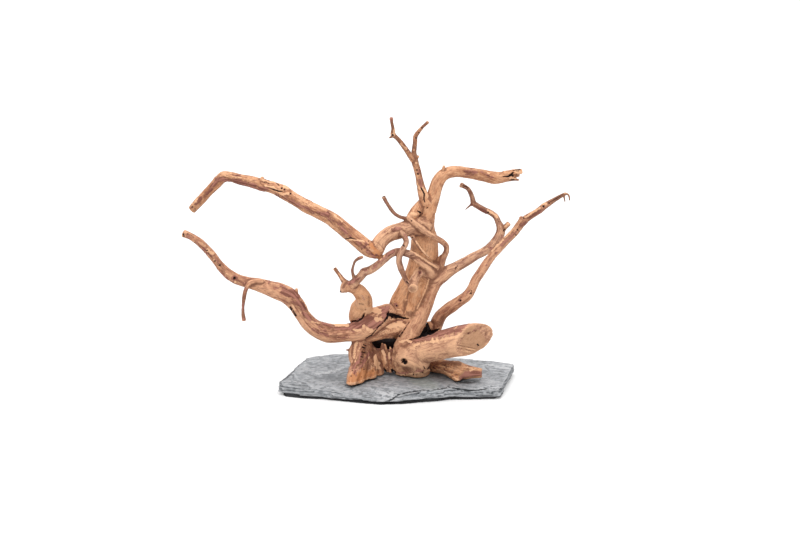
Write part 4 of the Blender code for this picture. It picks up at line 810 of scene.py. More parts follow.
        crack_and_shadow((71, 106.5, 0.9)), crack_and_shadow((69, 108.8, 0.5)), crack_and_shadow((71.2, 109, 0.5)), crack_and_shadow((69.6, 106, 0.5)),
        bark((86.5, 135, 1)), bark((96, 147, 1.1)), fleck((92, 149, 0.7), (103, 160, 1)),
        fleck((105, 162, 1), (114, 172, 1.2), strength=0.6),
        bark((101, 155, 1.2), (109, 162, 1.3), (116, 168, 1.4)), crack_and_shadow((116, 165, 0.7)),
        crack_and_shadow((117.5, 170, 0.7)), crack_and_shadow((123.5, 182, 0.8)), bark((121, 175, 1.6), (126, 177, 1.6)),
        bark((130, 182.5, 1.2), (135, 186, 1), (141, 189, 1.2)), fleck((125, 182.5, 0.8), (140, 192, 0.9)),
        fleck((140, 196, 1.2), (146, 196, 1.2)), crack_and_shadow((143.5, 193.5, 1.1)), crack_and_shadow((149, 197, 0.8)),
        crack_and_shadow((150, 198, 0.5), (163, 205.5, 0.4), rise=-0.3),
        brown((40, 80, 2.4), (50, 88, 1.6), (62, 96, 1.4), (73, 106, 1.2), strength=0.45),
        fleck((36, 87, 0.8), (50, 96.5, 1), (62, 104.5, 0.9), strength=0.4),
        brown((78, 119, 0.9), (86, 131, 1), strength=0.4), bark((74, 116, 0.7), strength=0.6),
        bark((81, 127, 0.7), strength=0.6), bark((52, 92, 0.7), strength=0.5),
    )),
    (("curl_twig",), (
        crack_and_shadow((-16.5, 203.5, 1.2), rise=-0.3, strength=0.7), bark((5, 182, 1.3), rise=0.2),
        bark((-1, 183.5, 0.6), (-8, 189, 0.6), strength=0.6),
        bark((-12, 195, 0.6), (-15, 200, 0.6), strength=0.6),
    )),
    (("front_loop", "loop_web"), (
        crack_and_shadow((11.5, 179, 0.6)), fleck((24, 171, 0.8), (34, 165, 0.8), strength=0.6),
        brown((18, 171, 1), (32, 161.5, 0.8), strength=0.5),
        brown((47.5, 153, 0.8), (46, 146, 0.9), strength=0.5), bark((44.5, 141, 0.7)),
        fleck((44.5, 157.5, 0.9), strength=0.5),
    )),
    (("needle_twig",), (
        crack_and_shadow((12.5, 162.5, 0.8), rise=-0.2),
        fleck((16, 159, 0.8), (22, 150, 0.9), (28, 143.5, 0.7), strength=0.7),
    )),
    (("antler", "antler_web", "prong", "prong_web", "wisp_twig"), (
        bark((-20, 139, 1.4), (-12, 146, 1.6), (-6, 149, 1.2)),
        crack_and_shadow((-12, 143.8, 0.6), (-6, 147.6, 0.4), rise=-0.4, strength=0.6),
        fleck((-20, 140, 0.4), (-14, 146, 0.5)), bark((-40, 131, 1.2), (-33, 129.5, 1.5)),
        bark((-27, 131, 1), (-24, 135, 0.9)), bark((-52, 116.5, 1.2), (-46, 119, 1.5)),
        bark((-45, 121, 1.2), (-42, 121, 1.5)), crack_and_shadow((-59.5, 108.5, 0.9), rise=-0.3),
        crack_and_shadow((-29, 132.6, 0.3), (-27, 128, 0.3), rise=-0.3, strength=0.6),
        crack_and_shadow((-26.6, 134.6, 0.3), (-24.4, 130.4, 0.3), rise=-0.3, strength=0.6),
        bark((11, 150, 1), (3, 151, 1.2), (-3, 151.4, 1), strength=0.5),
        fleck((10, 149.5, 0.6), (22, 142.5, 0.9), (32, 135.5, 1), (37, 132.5, 0.7)),
        fleck((13, 141, 0.8), (22, 134.5, 1), (30, 130.5, 1.5), (33, 128, 1.2), strength=0.6),
        crack_and_shadow((20, 140.2, 0.3), (28, 135.4, 0.4), (35, 131.2, 0.3), rise=-0.6, strength=0.6),
        crack_and_shadow((11, 144.3, 0.8), (13.5, 144.5, 0.5), strength=0.6),
        brown((4, 145, 1.2), (12, 144, 1.2), strength=0.7),
        fleck((-56, 118, 0.8), (-61, 126, 0.7), strength=0.6), crack_and_shadow((-65, 131.5, 0.8), strength=0.8),
        bark((-47.5, 130, 0.6)), bark((-40, 142, 0.7), strength=0.7),
        fleck((-44, 115, 1.2), (-50, 110.5, 1.4), strength=0.5),
    )),
    (("forward_stub", "front_trunk", "antler"), (
        fleck((16.5, 132, 0.9), (20, 133.6, 1.4), (24.5, 132.4, 1.6)), bark((19.6, 127.6, 2), ragged=0.5),
        crack_and_shadow((20, 127, 0.9), rise=-1, strength=0.8), brown((17.5, 129, 0.8), (19, 124.5, 1.2)),
        fleck((16, 130, 0.6), (9.5, 120.5, 0.8)), brown((20, 119.5, 0.7), (15.5, 115, 0.7), strength=0.8),
        brown((12.5, 111.5, 2.2), ragged=0.5, strength=0.4),
        Mark(Marking.CUT, ((12.8, 111.5, 3.2),), 0, 0.4, 0.5, 0.7),
        bark((11, 113, 0.9), ragged=1.2, strength=0.7), bark((14.6, 110, 0.8), strength=0.6),
        fleck((9.2, 112.5, 0.5), (10.6, 115, 0.5), (14, 115.6, 0.5), (17, 113.4, 0.5), (16.6, 109.4, 0.5),
            (13, 107.2, 0.5), (9.6, 109.2, 0.5), rise=0.3, ragged=0.3, strength=0.8),
    )),
    (("hook_twig",), (
        bark((5, 165.5, 1.2), (6, 163.5, 1)),
        crack_and_shadow((2.8, 155.3, 0.8), (4.3, 153.8, 0.6), rise=-0.4, strength=0.7),
        bark((6.4, 160, 0.9), strength=0.7), brown((2, 151, 1.2), (4, 157, 1), strength=0.6),
        fleck((-2.5, 146, 0.6), (-2.6, 136, 0.6), strength=0.5),
        brown((1.6, 141, 0.7), (2.8, 132, 0.8), (7, 121, 0.8), strength=0.5),
        crack_and_shadow((6.6, 118.5, 0.7), (8.4, 116.4, 0.6), strength=0.8),
    )),
)

SLATE_MARKS: Marks = (
    ((), (
        chip((-88, 25.5, 0.5), (-82, 26.3, 0.8), (-74, 27.4, 0.9), (-65, 29.2, 0.8), (-56, 32.5, 0.6),
            rise=0.6),
        chip((-98, 36.5, 0.7), (-90, 39, 0.6), strength=0.5), chip((-95, 35.4, 0.9)),
        chip((-107, 34, 0.4), (-103, 37.5, 0.4), strength=0.5),
        painted_shade((-84, 22.5, 2.2), (-70, 21.5, 3), (-58, 23, 2.4)),
        painted_shade((-60, 14, 1.4), (-40, 12, 1.6), (-25, 9.5, 1.2), strength=0.4),
        chip((-117, 18.5, 0.7), (-108, 18.8, 0.9), (-100, 17, 0.8), strength=0.5),
        painted_shade((-120, 12, 2.4), (-108, 9.5, 2.6), (-98, 8, 2)),
        chip((-25, 8.2, 1), (-16, 6.2, 1.2), (-8, 4.4, 1), rise=0.5),
        chip((-18, 3.4, 0.8), (-10, 1.2, 0.8), strength=0.6),
        chip((-80, 8, 0.5), (-60, 4.5, 0.6), (-42, 3, 0.5), strength=0.35),
        chip((-12, 7.8, 0.7), (-4, 7.4, 0.6), strength=0.5),
        split((-15.5, -2.5, 0.4), (-7, 1, 0.7), (-2, 5.5, 0.6), (10, 8, 0.6), (23, 9.8, 0.4), rise=-1),
        split((13, 4, 0.4), (17, 6.2, 0.6), (22, 9, 0.6), (30, 10, 0.4)),
        split((24, 9.6, 0.4), (40, 10.8, 0.5), (47, 12.6, 0.4), strength=0.8),
        split((48, 13.2, 0.3), (58, 11, 0.7), (72, 9.2, 0.6), (90, 11.4, 0.4), (101, 11, 0.4), rise=-1),
        split((60, 9, 0.3), (72, 7.4, 0.4), (88, 7.2, 0.4), (100, 8, 0.4), strength=0.4),
        split((87, 7, 0.4), (100, 5.6, 0.4), strength=0.5),
        split((-48, 1.6, 0.3), (-34, -0.6, 0.4), (-24, -1.4, 0.3), strength=0.5),
        chip((62, 12.4, 0.5), (80, 11.6, 0.6), (98, 12.8, 0.5), strength=0.5),
        painted_shade((54, 7.6, 1), (70, 5.4, 1.2), (96, 4.6, 1.2), strength=0.45),
        chip((86, 35.6, 0.5), (93, 34.4, 0.7), (101, 32.4, 0.8), (110, 31.4, 0.8), rise=0.1, strength=1.0),
        chip((102, 34.8, 0.6), (111, 34, 0.7), rise=0.1, strength=1.0),
        painted_shade((100, 24, 1.4), (106, 12, 2.6), (110, 20, 2.2), strength=0.6),
        painted_shade((60, 18, 2.2), (72, 16.5, 2.4), (84, 17, 1.6), strength=0.45),
        painted_shade((30, 25, 1.4), (44, 23, 2), (54, 19, 1.6), strength=0.3),
        painted_shade((-54, 15.5, 1.6), (-40, 15, 2), (-24, 19, 1.4), strength=0.5),
        chip((48, 21, 0.3), (58, 19, 0.3), strength=0.4),
        Mark(StoneMarking.PAINTED_SHADE, ((-119, 12, 3), (-98, 7, 3.5), (-60, 2, 3), (-24, -2, 2.5)), 0, 1.6, 2.2, 0.6),
        # Painted shadows on the slate under the left foot, under the right foot and under the base's lip.
        Mark(StoneMarking.CRACK_AND_SHADOW, ((-54, 14.6, 1.2), (-44, 15.4, 1.6), (-30, 19.4, 1.2),
            (-17, 24, 0.8)), 0, 0.6, 1.6, 0.75),
        Mark(StoneMarking.CRACK_AND_SHADOW, ((52, 20, 0.8), (58, 17.5, 1.8), (68, 17.4, 1.6),
            (78, 18.4, 0.6)), 0, 0.6, 1.8, 0.7),
        Mark(StoneMarking.CRACK_AND_SHADOW, ((2, 23.6, 0.6), (20, 24, 0.8), (34, 27.5, 1.2), (44, 26.5, 1.2),
            (52, 22, 0.8)), 0, 0.5, 1.2, 0.45),
        Mark(StoneMarking.OLIVE, ((14, 20, 4), (26, 18, 6), (34, 14, 4)), 0, 2, 4, 0.7),
        chip((14, 22.6, 0.7), strength=0.6), chip((40, 16, 0.6), strength=0.5),
        painted_shade((96, 29.4, 0.4), (102, 28.4, 0.5), strength=0.8),
    )),
)
SOFT_AREAS: tuple[SoftArea, ...] = (
    SoftArea(
        ("left_toe_outer", "left_toe_middle", "left_toe_inner", "toe_web_outer", "toe_web_inner"),
        (-60, -14, 27, 58), 26),
    SoftArea(("base_knob", "base_lip", "base_front", "big_log", "foot_bridge"), (-6, 36, 22, 54), 60),
    SoftArea(("antler", "antler_web", "forward_stub", "front_loop", "loop_web"), (6, 44, 118, 152), 12),
    SoftArea(("back_trunk", "front_trunk", "trunk_web"), (-6, 46, 60, 172), 40),
    SoftArea(("left_branch", "rising_stub", "bar"), (-60, -8, 66, 92), 12),
    SoftArea(("back_trunk", "back_foot", "cavity_back"), (-40, 40, 30, 112), 30),
)


def ramp(values: np.ndarray, width: float) -> np.ndarray:
    """Shares that rise from 0 at zero to 1 at a width."""
    return np.clip(values / width, 0.0, 1.0)


@dataclass(frozen=True)
class NoiseLayer:
    """Noise of one height and size, read in its own part of space."""

    height: float
    shift: float
    spacing: Triple

    def at(self, places: np.ndarray, source: SmoothNoise) -> np.ndarray:
        """Its height at each place."""
        return self.height * source.at(places + self.shift, self.spacing)


class LimbLine:
    """The centre line of a limb, with a frame that turns as little as it can."""

    STEP = 1.0
    RING_EVERY = 2
    REACH = 9.0
    ROUND_END = (0.6, (35, 62, 82))
    BLUNT_END = (0.1, (15, 50, 80))
    LEAST_SIDE = 0.05
    MOST_SLIDE = 0.7
    CHUNK = 20000

    def __init__(self, limb: Limb, sheet: Sheet) -> None:
        """Sample the limb's route every millimetre or so."""
        self.limb = limb
        knots = np.array([(*sheet.point(a, u, d), 0.5 * t) for a, u, d, t in limb.route])
        self.centre, self.radius = self.sample(knots)
        self.tangent = np.gradient(self.centre, axis=0)
        self.tangent /= np.linalg.norm(self.tangent, axis=1)[:, None]
        steps = np.linalg.norm(np.diff(self.centre, axis=0), axis=1)
        self.arc = np.concatenate(((0.0,), np.cumsum(steps)))
        self.side = self.carried_side()
        self.other = np.cross(self.tangent, self.side)

    def sample(self, knots: np.ndarray) -> tuple[np.ndarray, np.ndarray]:
        """Places and radii along a smooth curve through the knots.

        Args:
            knots: rows of place and radius.

        Returns:
            The places and the radii.
        """
        padded = np.vstack((knots[:1], knots, knots[-1:]))
        rows = []
        for before, start, end, after in zip(padded, padded[1:], padded[2:], padded[3:]):
            count = max(2, round(float(np.linalg.norm(end[:3] - start[:3])) / self.STEP))
            for t in np.arange(count) / count:
                place = (
                    before[:3] * (-0.5 * t + t * t - 0.5 * t ** 3)
                    + start[:3] * (1.0 - 2.5 * t * t + 1.5 * t ** 3)
                    + end[:3] * (0.5 * t + 2.0 * t * t - 1.5 * t ** 3)
                    + after[:3] * (-0.5 * t * t + 0.5 * t ** 3)
                )
                rows.append((*place, start[3] * (1.0 - t) + end[3] * t))
        rows.append(tuple(knots[-1]))
        table = np.array(rows)
        return table[:, :3], table[:, 3]

    def carried_side(self) -> np.ndarray:
        """A side direction at each sample, carried along without twisting."""
        sides = np.zeros_like(self.centre)
        side = np.array((0.0, -1.0, 0.0))
        for index, tangent in enumerate(self.tangent):
            side = side - tangent * float(side @ tangent)
            size = float(np.linalg.norm(side))
            if size < self.LEAST_SIDE:
                side = np.cross(tangent, (1.0, 0.0, 0.0))
                size = float(np.linalg.norm(side))
            side = side / size
            sides[index] = side
        return sides

    def rings(self, sides: int) -> tuple[np.ndarray, int]:
        """Rings of points round the limb, with rounded ends.

        Args:
            sides: points in each ring.

        Returns:
            The points, ring after ring, and the number of rings.
        """
        last = len(self.centre) - 1
        rows = [
            *reversed(self.closing_rings(0, -1.0)),
            *((self.centre[i], self.radius[i], i) for i in (*range(0, last, self.RING_EVERY), last)),
            *self.closing_rings(last, 1.0),
        ]
        turns = np.arange(sides) * (2.0 * math.pi / sides)
        points = []
        for centre, radius, i in rows:
            spoke = np.cos(turns)[:, None] * self.side[i] + np.sin(turns)[:, None] * self.other[i]
            points.append(centre + radius * spoke)
        return np.vstack(points), len(rows)

    def closing_rings(self, index: int, outward: float) -> list[tuple[np.ndarray, float, int]]:
        """Three shrinking rings past one end of the limb.

        Args:
            index: the sample at the end.
            outward: 1 past the last sample, -1 past the first.

        Returns:
            Centre, radius and sample number of each ring.
        """
        blunt = self.limb.blunt and outward > 0.0
        length, turns = self.BLUNT_END if blunt else self.ROUND_END
        rows = []
        for angle in map(math.radians, turns):
            reach = length * self.radius[index] * math.sin(angle) * outward
            centre = self.centre[index] + self.tangent[index] * reach
            rows.append((centre, self.radius[index] * math.cos(angle), index))
        return rows

    def measure(self, places: np.ndarray) -> tuple[np.ndarray, np.ndarray, np.ndarray, np.ndarray]:
        """Where places near the limb lie on it.

        Args:
            places: N by 3 array, in millimetres.

        Returns:
            Numbers of the places near the limb, their distance outside its
            surface, their two sideways parts and length along it, and its radius there.
        """
        margin = self.REACH + self.radius.max()
        low, high = self.centre.min(0) - margin, self.centre.max(0) + margin
        near = np.nonzero(np.all((places > low) & (places < high), axis=1))[0]
        if len(near) == 0:
            return near, np.zeros(0), np.zeros((0, 3)), np.zeros(0)
        spot = places[near]
        pick = np.zeros(len(near), int)
        square = (self.centre ** 2).sum(1)
        for start in range(0, len(near), self.CHUNK):
            part = slice(start, start + self.CHUNK)
            pick[part] = np.argmin(square - 2.0 * spot[part] @ self.centre.T, axis=1)
        offset = spot - self.centre[pick]
        slide = np.clip((offset * self.tangent[pick]).sum(1), -self.MOST_SLIDE, self.MOST_SLIDE)
        offset = offset - slide[:, None] * self.tangent[pick]
        outside = np.linalg.norm(offset, axis=1) - self.radius[pick]
        on_limb = np.stack((
            (offset * self.side[pick]).sum(1), (offset * self.other[pick]).sum(1), self.arc[pick] + slide,
        ), axis=1)
        return near, outside, on_limb, self.radius[pick]


@dataclass
class GrainPlaces:
    """What the limbs say about each place on the wood.

    That is its fibre coordinates, tones, ridge height, limb radius and nearest limb.
    """

    fibre: np.ndarray
    tones: np.ndarray
    ridges: np.ndarray
    radius: np.ndarray
    limb: np.ndarray


class GrainField:
    """Follows the wood's fibres: how far round and along its limb each place lies."""

    BLEND = 1.5
    BLEND_REACH = 40.0
    PARENT_REACH = 12.0
    TINY = 1e-9

    def __init__(self, limbs: list[Limb], sheet: Sheet) -> None:
        """Sample every limb, and start each one's length where it leaves its parent."""
        self.lines: list[LimbLine] = []
        for limb in limbs:
            line = LimbLine(limb, sheet)
            line.arc = line.arc + self.length_at(line.centre[0])
            self.lines.append(line)
        self.names = [limb.name for limb in limbs]

    def length_at(self, place: np.ndarray) -> float:
        """Length along the nearest limb so far, or zero where none is near."""
        best, length = self.PARENT_REACH, 0.0
        for line in self.lines:
            away = np.linalg.norm(line.centre - place, axis=1)
            pick = int(np.argmin(away))
            if away[pick] < best:
                best, length = float(away[pick]), float(line.arc[pick])
        return length

    def numbers(self, names: tuple[str, ...]) -> list[int]:
        """Places of the named limbs in the field's order."""
        return [self.names.index(name) for name in names]

    def locate(self, places: np.ndarray) -> GrainPlaces:
        """What the limbs say about places on the wood, blended where they meet.

        Args:
            places: N by 3 array, in millimetres.

        Returns:
            The values for each place.
        """
        count = len(places)
        found = [line.measure(places) for line in self.lines]
        nearest = np.full(count, FAR)
        limb = np.zeros(count, int)
        for number, (near, outside, _, _) in enumerate(found):
            closer = outside < nearest[near]
            limb[near[closer]] = number
            nearest[near[closer]] = outside[closer]
        fibre, tones = np.zeros((count, 3)), np.zeros((count, len(Tone)))
        ridges, radius, total = np.zeros(count), np.zeros(count), np.full(count, self.TINY)
        for line, (near, outside, on_limb, thick) in zip(self.lines, found):
            weight = np.exp(-np.clip(outside - nearest[near], 0.0, self.BLEND_REACH) / self.BLEND)
            fibre[near] += on_limb * weight[:, None]
            tones[near, line.limb.tone.value] += weight
            ridges[near] += weight * line.limb.ridges
            radius[near] += weight * thick
            total[near] += weight
        share = 1.0 / total
        column = share[:, None]
        return GrainPlaces(fibre * column, tones * column, ridges * share, radius * share, limb)


def read_mesh(mesh: bpy.types.Mesh) -> tuple[np.ndarray, np.ndarray]:
    """Places in millimetres and normals of a mesh's vertices."""
    places = np.zeros(len(mesh.vertices) * 3, np.float32)
    normals = np.zeros(len(mesh.vertices) * 3, np.float32)
    mesh.vertices.foreach_get("co", places)
    mesh.vertex_normals.foreach_get("vector", normals)
    return places.reshape(-1, 3).astype(float) / MM, normals.reshape(-1, 3).astype(float)


def write_places(mesh: bpy.types.Mesh, places: np.ndarray) -> None:
    """Move a mesh's vertices to places given in millimetres."""
    mesh.vertices.foreach_set("co", (places * MM).astype(np.float32).ravel())
    mesh.update()


def store_values(mesh: bpy.types.Mesh, name: str, *columns: np.ndarray) -> None:
    """Keep three numbers for each vertex under a name that materials read."""
    layer = mesh.attributes.new(name, "FLOAT_VECTOR", "POINT")
    layer.data.foreach_set("vector", np.stack(columns, axis=1).astype(np.float32).ravel())


def store_kinds(mesh: bpy.types.Mesh, name: str, table: np.ndarray, *kinds: Enum) -> None:
    """Keep three of a table's columns, named by their kinds, for each vertex."""
    store_values(mesh, name, *(table[:, kind.value] for kind in kinds))


def ring_faces(start: int, rings: int, sides: int) -> list[tuple[int, ...]]:
    """Faces between rings of points that follow each other.

    Args:
        start: number of the first ring's first point.
        rings: number of rings.
        sides: points in each ring.

    Returns:
        The faces as vertex numbers.
    """
    faces = []
    for low in range(start, start + (rings - 1) * sides, sides):
        high = low + sides
        for side in range(sides):
            following = (side + 1) % sides
            faces.append((low + side, low + following, high + following, high + side))
    return faces


def mesh_piece(name: str, verts: list, faces: list) -> bpy.types.Object:
    """A new object in the scene with this mesh.

    Args:
        name: the piece's name.
        verts: vertices in metres.
        faces: faces as vertex numbers.

    Returns:
        The object.
    """
    mesh = bpy.data.meshes.new(name)
    mesh.from_pydata(verts, [], faces)
    mesh.update()
    piece = bpy.data.objects.new(name, mesh)
    bpy.context.scene.collection.objects.link(piece)
    return piece


def tube_piece(name: str, lines: list[LimbLine], sides: int) -> bpy.types.Object:
    """A new object with closed tapered tubes along several limbs.

    Args:
        name: the object's name.
        lines: the limbs' centre lines.
        sides: faces round each tube.

    Returns:
        The object.
    """
    verts: list = []
    faces: list = []
    for line in lines:
        points, rings = line.rings(sides)
        start = len(verts)
        last = start + (rings - 1) * sides
        verts.extend((points * MM).tolist())
        faces.extend(ring_faces(start, rings, sides))
        faces.append(tuple(reversed(range(start, start + sides))))
        faces.append(tuple(range(last, last + sides)))
    return mesh_piece(name, verts, faces)


@contextmanager
def edited(mesh: bpy.types.Mesh) -> Iterator[bmesh.types.BMesh]:
    """The mesh in the form that bmesh's tools work on, written back at the end."""
    work = bmesh.new()
    work.from_mesh(mesh)
    yield work
    work.to_mesh(mesh)
    work.free()


def apply_modifier(piece: bpy.types.Object, kind: str, **settings: object) -> None:
    """Add one modifier with its settings and make its result the object's mesh.

    Args:
        piece: the object.
        kind: Blender's name for the modifier.
        settings: values for the modifier.
    """
    modifier = piece.modifiers.new(kind.lower(), kind)
    for key, value in settings.items():
        setattr(modifier, key, value)
    graph = bpy.context.evaluated_depsgraph_get()
    graph.update()
    mesh = bpy.data.meshes.new_from_object(piece.evaluated_get(graph))
    piece.modifiers.clear()
    old = piece.data
    piece.data = mesh
    mesh.name = piece.name
    bpy.data.meshes.remove(old)


def cut_flat(mesh: bpy.types.Mesh, place: np.ndarray, facing: np.ndarray) -> None:
    """Remove what lies in front of a plane and close the cut.

    Args:
        mesh: the mesh to cut.
        place: a point on the plane, in millimetres.
        facing: the way the plane faces.
    """
    with edited(mesh) as work:
        cut = bmesh.ops.bisect_plane(
            work, geom=work.verts[:] + work.edges[:] + work.faces[:],
            plane_co=Vector(place) * MM, plane_no=Vector(facing), clear_outer=True,
        )
        rim = [item for item in cut["geom_cut"] if isinstance(item, bmesh.types.BMEdge)]
        bmesh.ops.holes_fill(work, edges=rim, sides=0)
        bmesh.ops.recalc_face_normals(work, faces=work.faces)
        bmesh.ops.triangulate(work, faces=[face for face in work.faces if len(face.verts) > 4])


def mesh_edges(mesh: bpy.types.Mesh) -> np.ndarray:
    """Vertex numbers at both ends of each edge."""
    ends = np.zeros(len(mesh.edges) * 2, np.int32)
    mesh.edges.foreach_get("vertices", ends)
    return ends.reshape(-1, 2)


def neighbour_middles(places: np.ndarray, ends: np.ndarray) -> np.ndarray:
    """The middle of each place's neighbours.

    Args:
        places: N by 3 array.
        ends: numbers of the two places that each edge joins.

    Returns:
        N by 3 array.
    """
    first, second = ends.T
    count = len(places)
    degree = np.bincount(ends.ravel(), minlength=count).clip(1)
    total = [
        np.bincount(first, column[second], count) + np.bincount(second, column[first], count)
        for column in places.T
    ]
    return np.stack(total, axis=1) / degree[:, None]


def hollowness(mesh: bpy.types.Mesh, rounds: int) -> np.ndarray:
    """How far each vertex lies below its surroundings, in millimetres.

    Args:
        mesh: the mesh.
        rounds: how many times the surroundings widen.

    Returns:
        One value for each vertex, above zero in a hollow and below it on a ridge.
    """
    places, normals = read_mesh(mesh)
    ends = mesh_edges(mesh)
    around = places
    for _ in range(rounds):
        around = neighbour_middles(around, ends)
    return ((around - places) * normals).sum(1)


def soften_where(mesh: bpy.types.Mesh, chosen: np.ndarray, rounds: int) -> None:
    """Smooth part of a mesh, so that its tubes flow into each other.

    Args:
        mesh: the mesh.
        chosen: true for each vertex that may move.
        rounds: how many times each place moves half way to its neighbours' middle.
    """
    places, _ = read_mesh(mesh)
    ends = mesh_edges(mesh)
    used, compact = np.unique(ends[chosen[ends].any(axis=1)], return_inverse=True)
    compact = compact.reshape(-1, 2)
    moving = chosen[used]
    spots = places[used]
    for _ in range(rounds):
        spots[moving] = 0.5 * spots[moving] + 0.5 * neighbour_middles(spots, compact)[moving]
    places[used] = spots
    write_places(mesh, places)


@dataclass
class SurfaceMarks:
    """Finds how strongly each mark acts at each place on a surface."""

    marks: Marks
    kinds: int
    sheet: Sheet
    names: list[str] = field(default_factory=list)
    edge_spacing: float = 2.6
    least_facing: float = -0.15
    edge_noise: SmoothNoise = field(default_factory=lambda: SmoothNoise(11))

    def amounts(
        self, places: np.ndarray, normals: np.ndarray, limb: np.ndarray,
    ) -> tuple[np.ndarray, np.ndarray]:
        """How much of each kind of mark there is at each place, and how far it lifts.

        Args:
            places: N by 3 array, in millimetres.
            normals: the surface's direction there.
            limb: number of the nearest limb.

        Returns:
            N by kinds array from 0 to 1, and the lift in millimetres.
        """
        flat = self.sheet.flatten(places)
        in_front = normals @ self.sheet.to_eye() > self.least_facing
        kinds = np.zeros((len(places), self.kinds))
        lift = np.zeros(len(places))
        for names, marks in self.marks:
            allowed = in_front
            if names:
                allowed = in_front & np.isin(limb, [self.names.index(name) for name in names])
            for mark in marks:
                stroke = np.array(mark.stroke, float)
                reach = stroke[:, 2].max() + mark.ragged + 2.0 * mark.soft
                low, high = stroke[:, :2].min(0) - reach, stroke[:, :2].max(0) + reach
                spots = np.nonzero(allowed & np.all((flat > low) & (flat < high), axis=1))[0]
                away = self.off_stroke(flat[spots], stroke)
                away = away + mark.ragged * self.edge_noise.layered(places[spots], self.edge_spacing, 2)
                amount = np.clip(0.5 - 0.5 * away / mark.soft, 0.0, 1.0)
                amount = amount * amount * (3.0 - 2.0 * amount) * mark.strength
                column = mark.kind.value
                kinds[spots, column] = np.maximum(kinds[spots, column], amount)
                lift[spots] += mark.rise * amount
        return kinds, lift

    @staticmethod
    def off_stroke(flat: np.ndarray, stroke: np.ndarray) -> np.ndarray:
        """Distance outside a stroke on the sheet, below zero inside it.

        Args:
            flat: N by 2 array of across and up.
            stroke: rows of across, up and half width.

        Returns:
            N distances.
        """
        if len(stroke) == 1:
            return np.linalg.norm(flat - stroke[0, :2], axis=1) - stroke[0, 2]
        best = np.full(len(flat), FAR)
        for start, end in zip(stroke, stroke[1:]):
            side = end[:2] - start[:2]
            share = np.clip((flat - start[:2]) @ side / float(side @ side), 0.0, 1.0)
            nearest = start[:2] + share[:, None] * side
            wide = start[2] + share * (end[2] - start[2])
            best = np.minimum(best, np.linalg.norm(flat - nearest, axis=1) - wide)
        return best


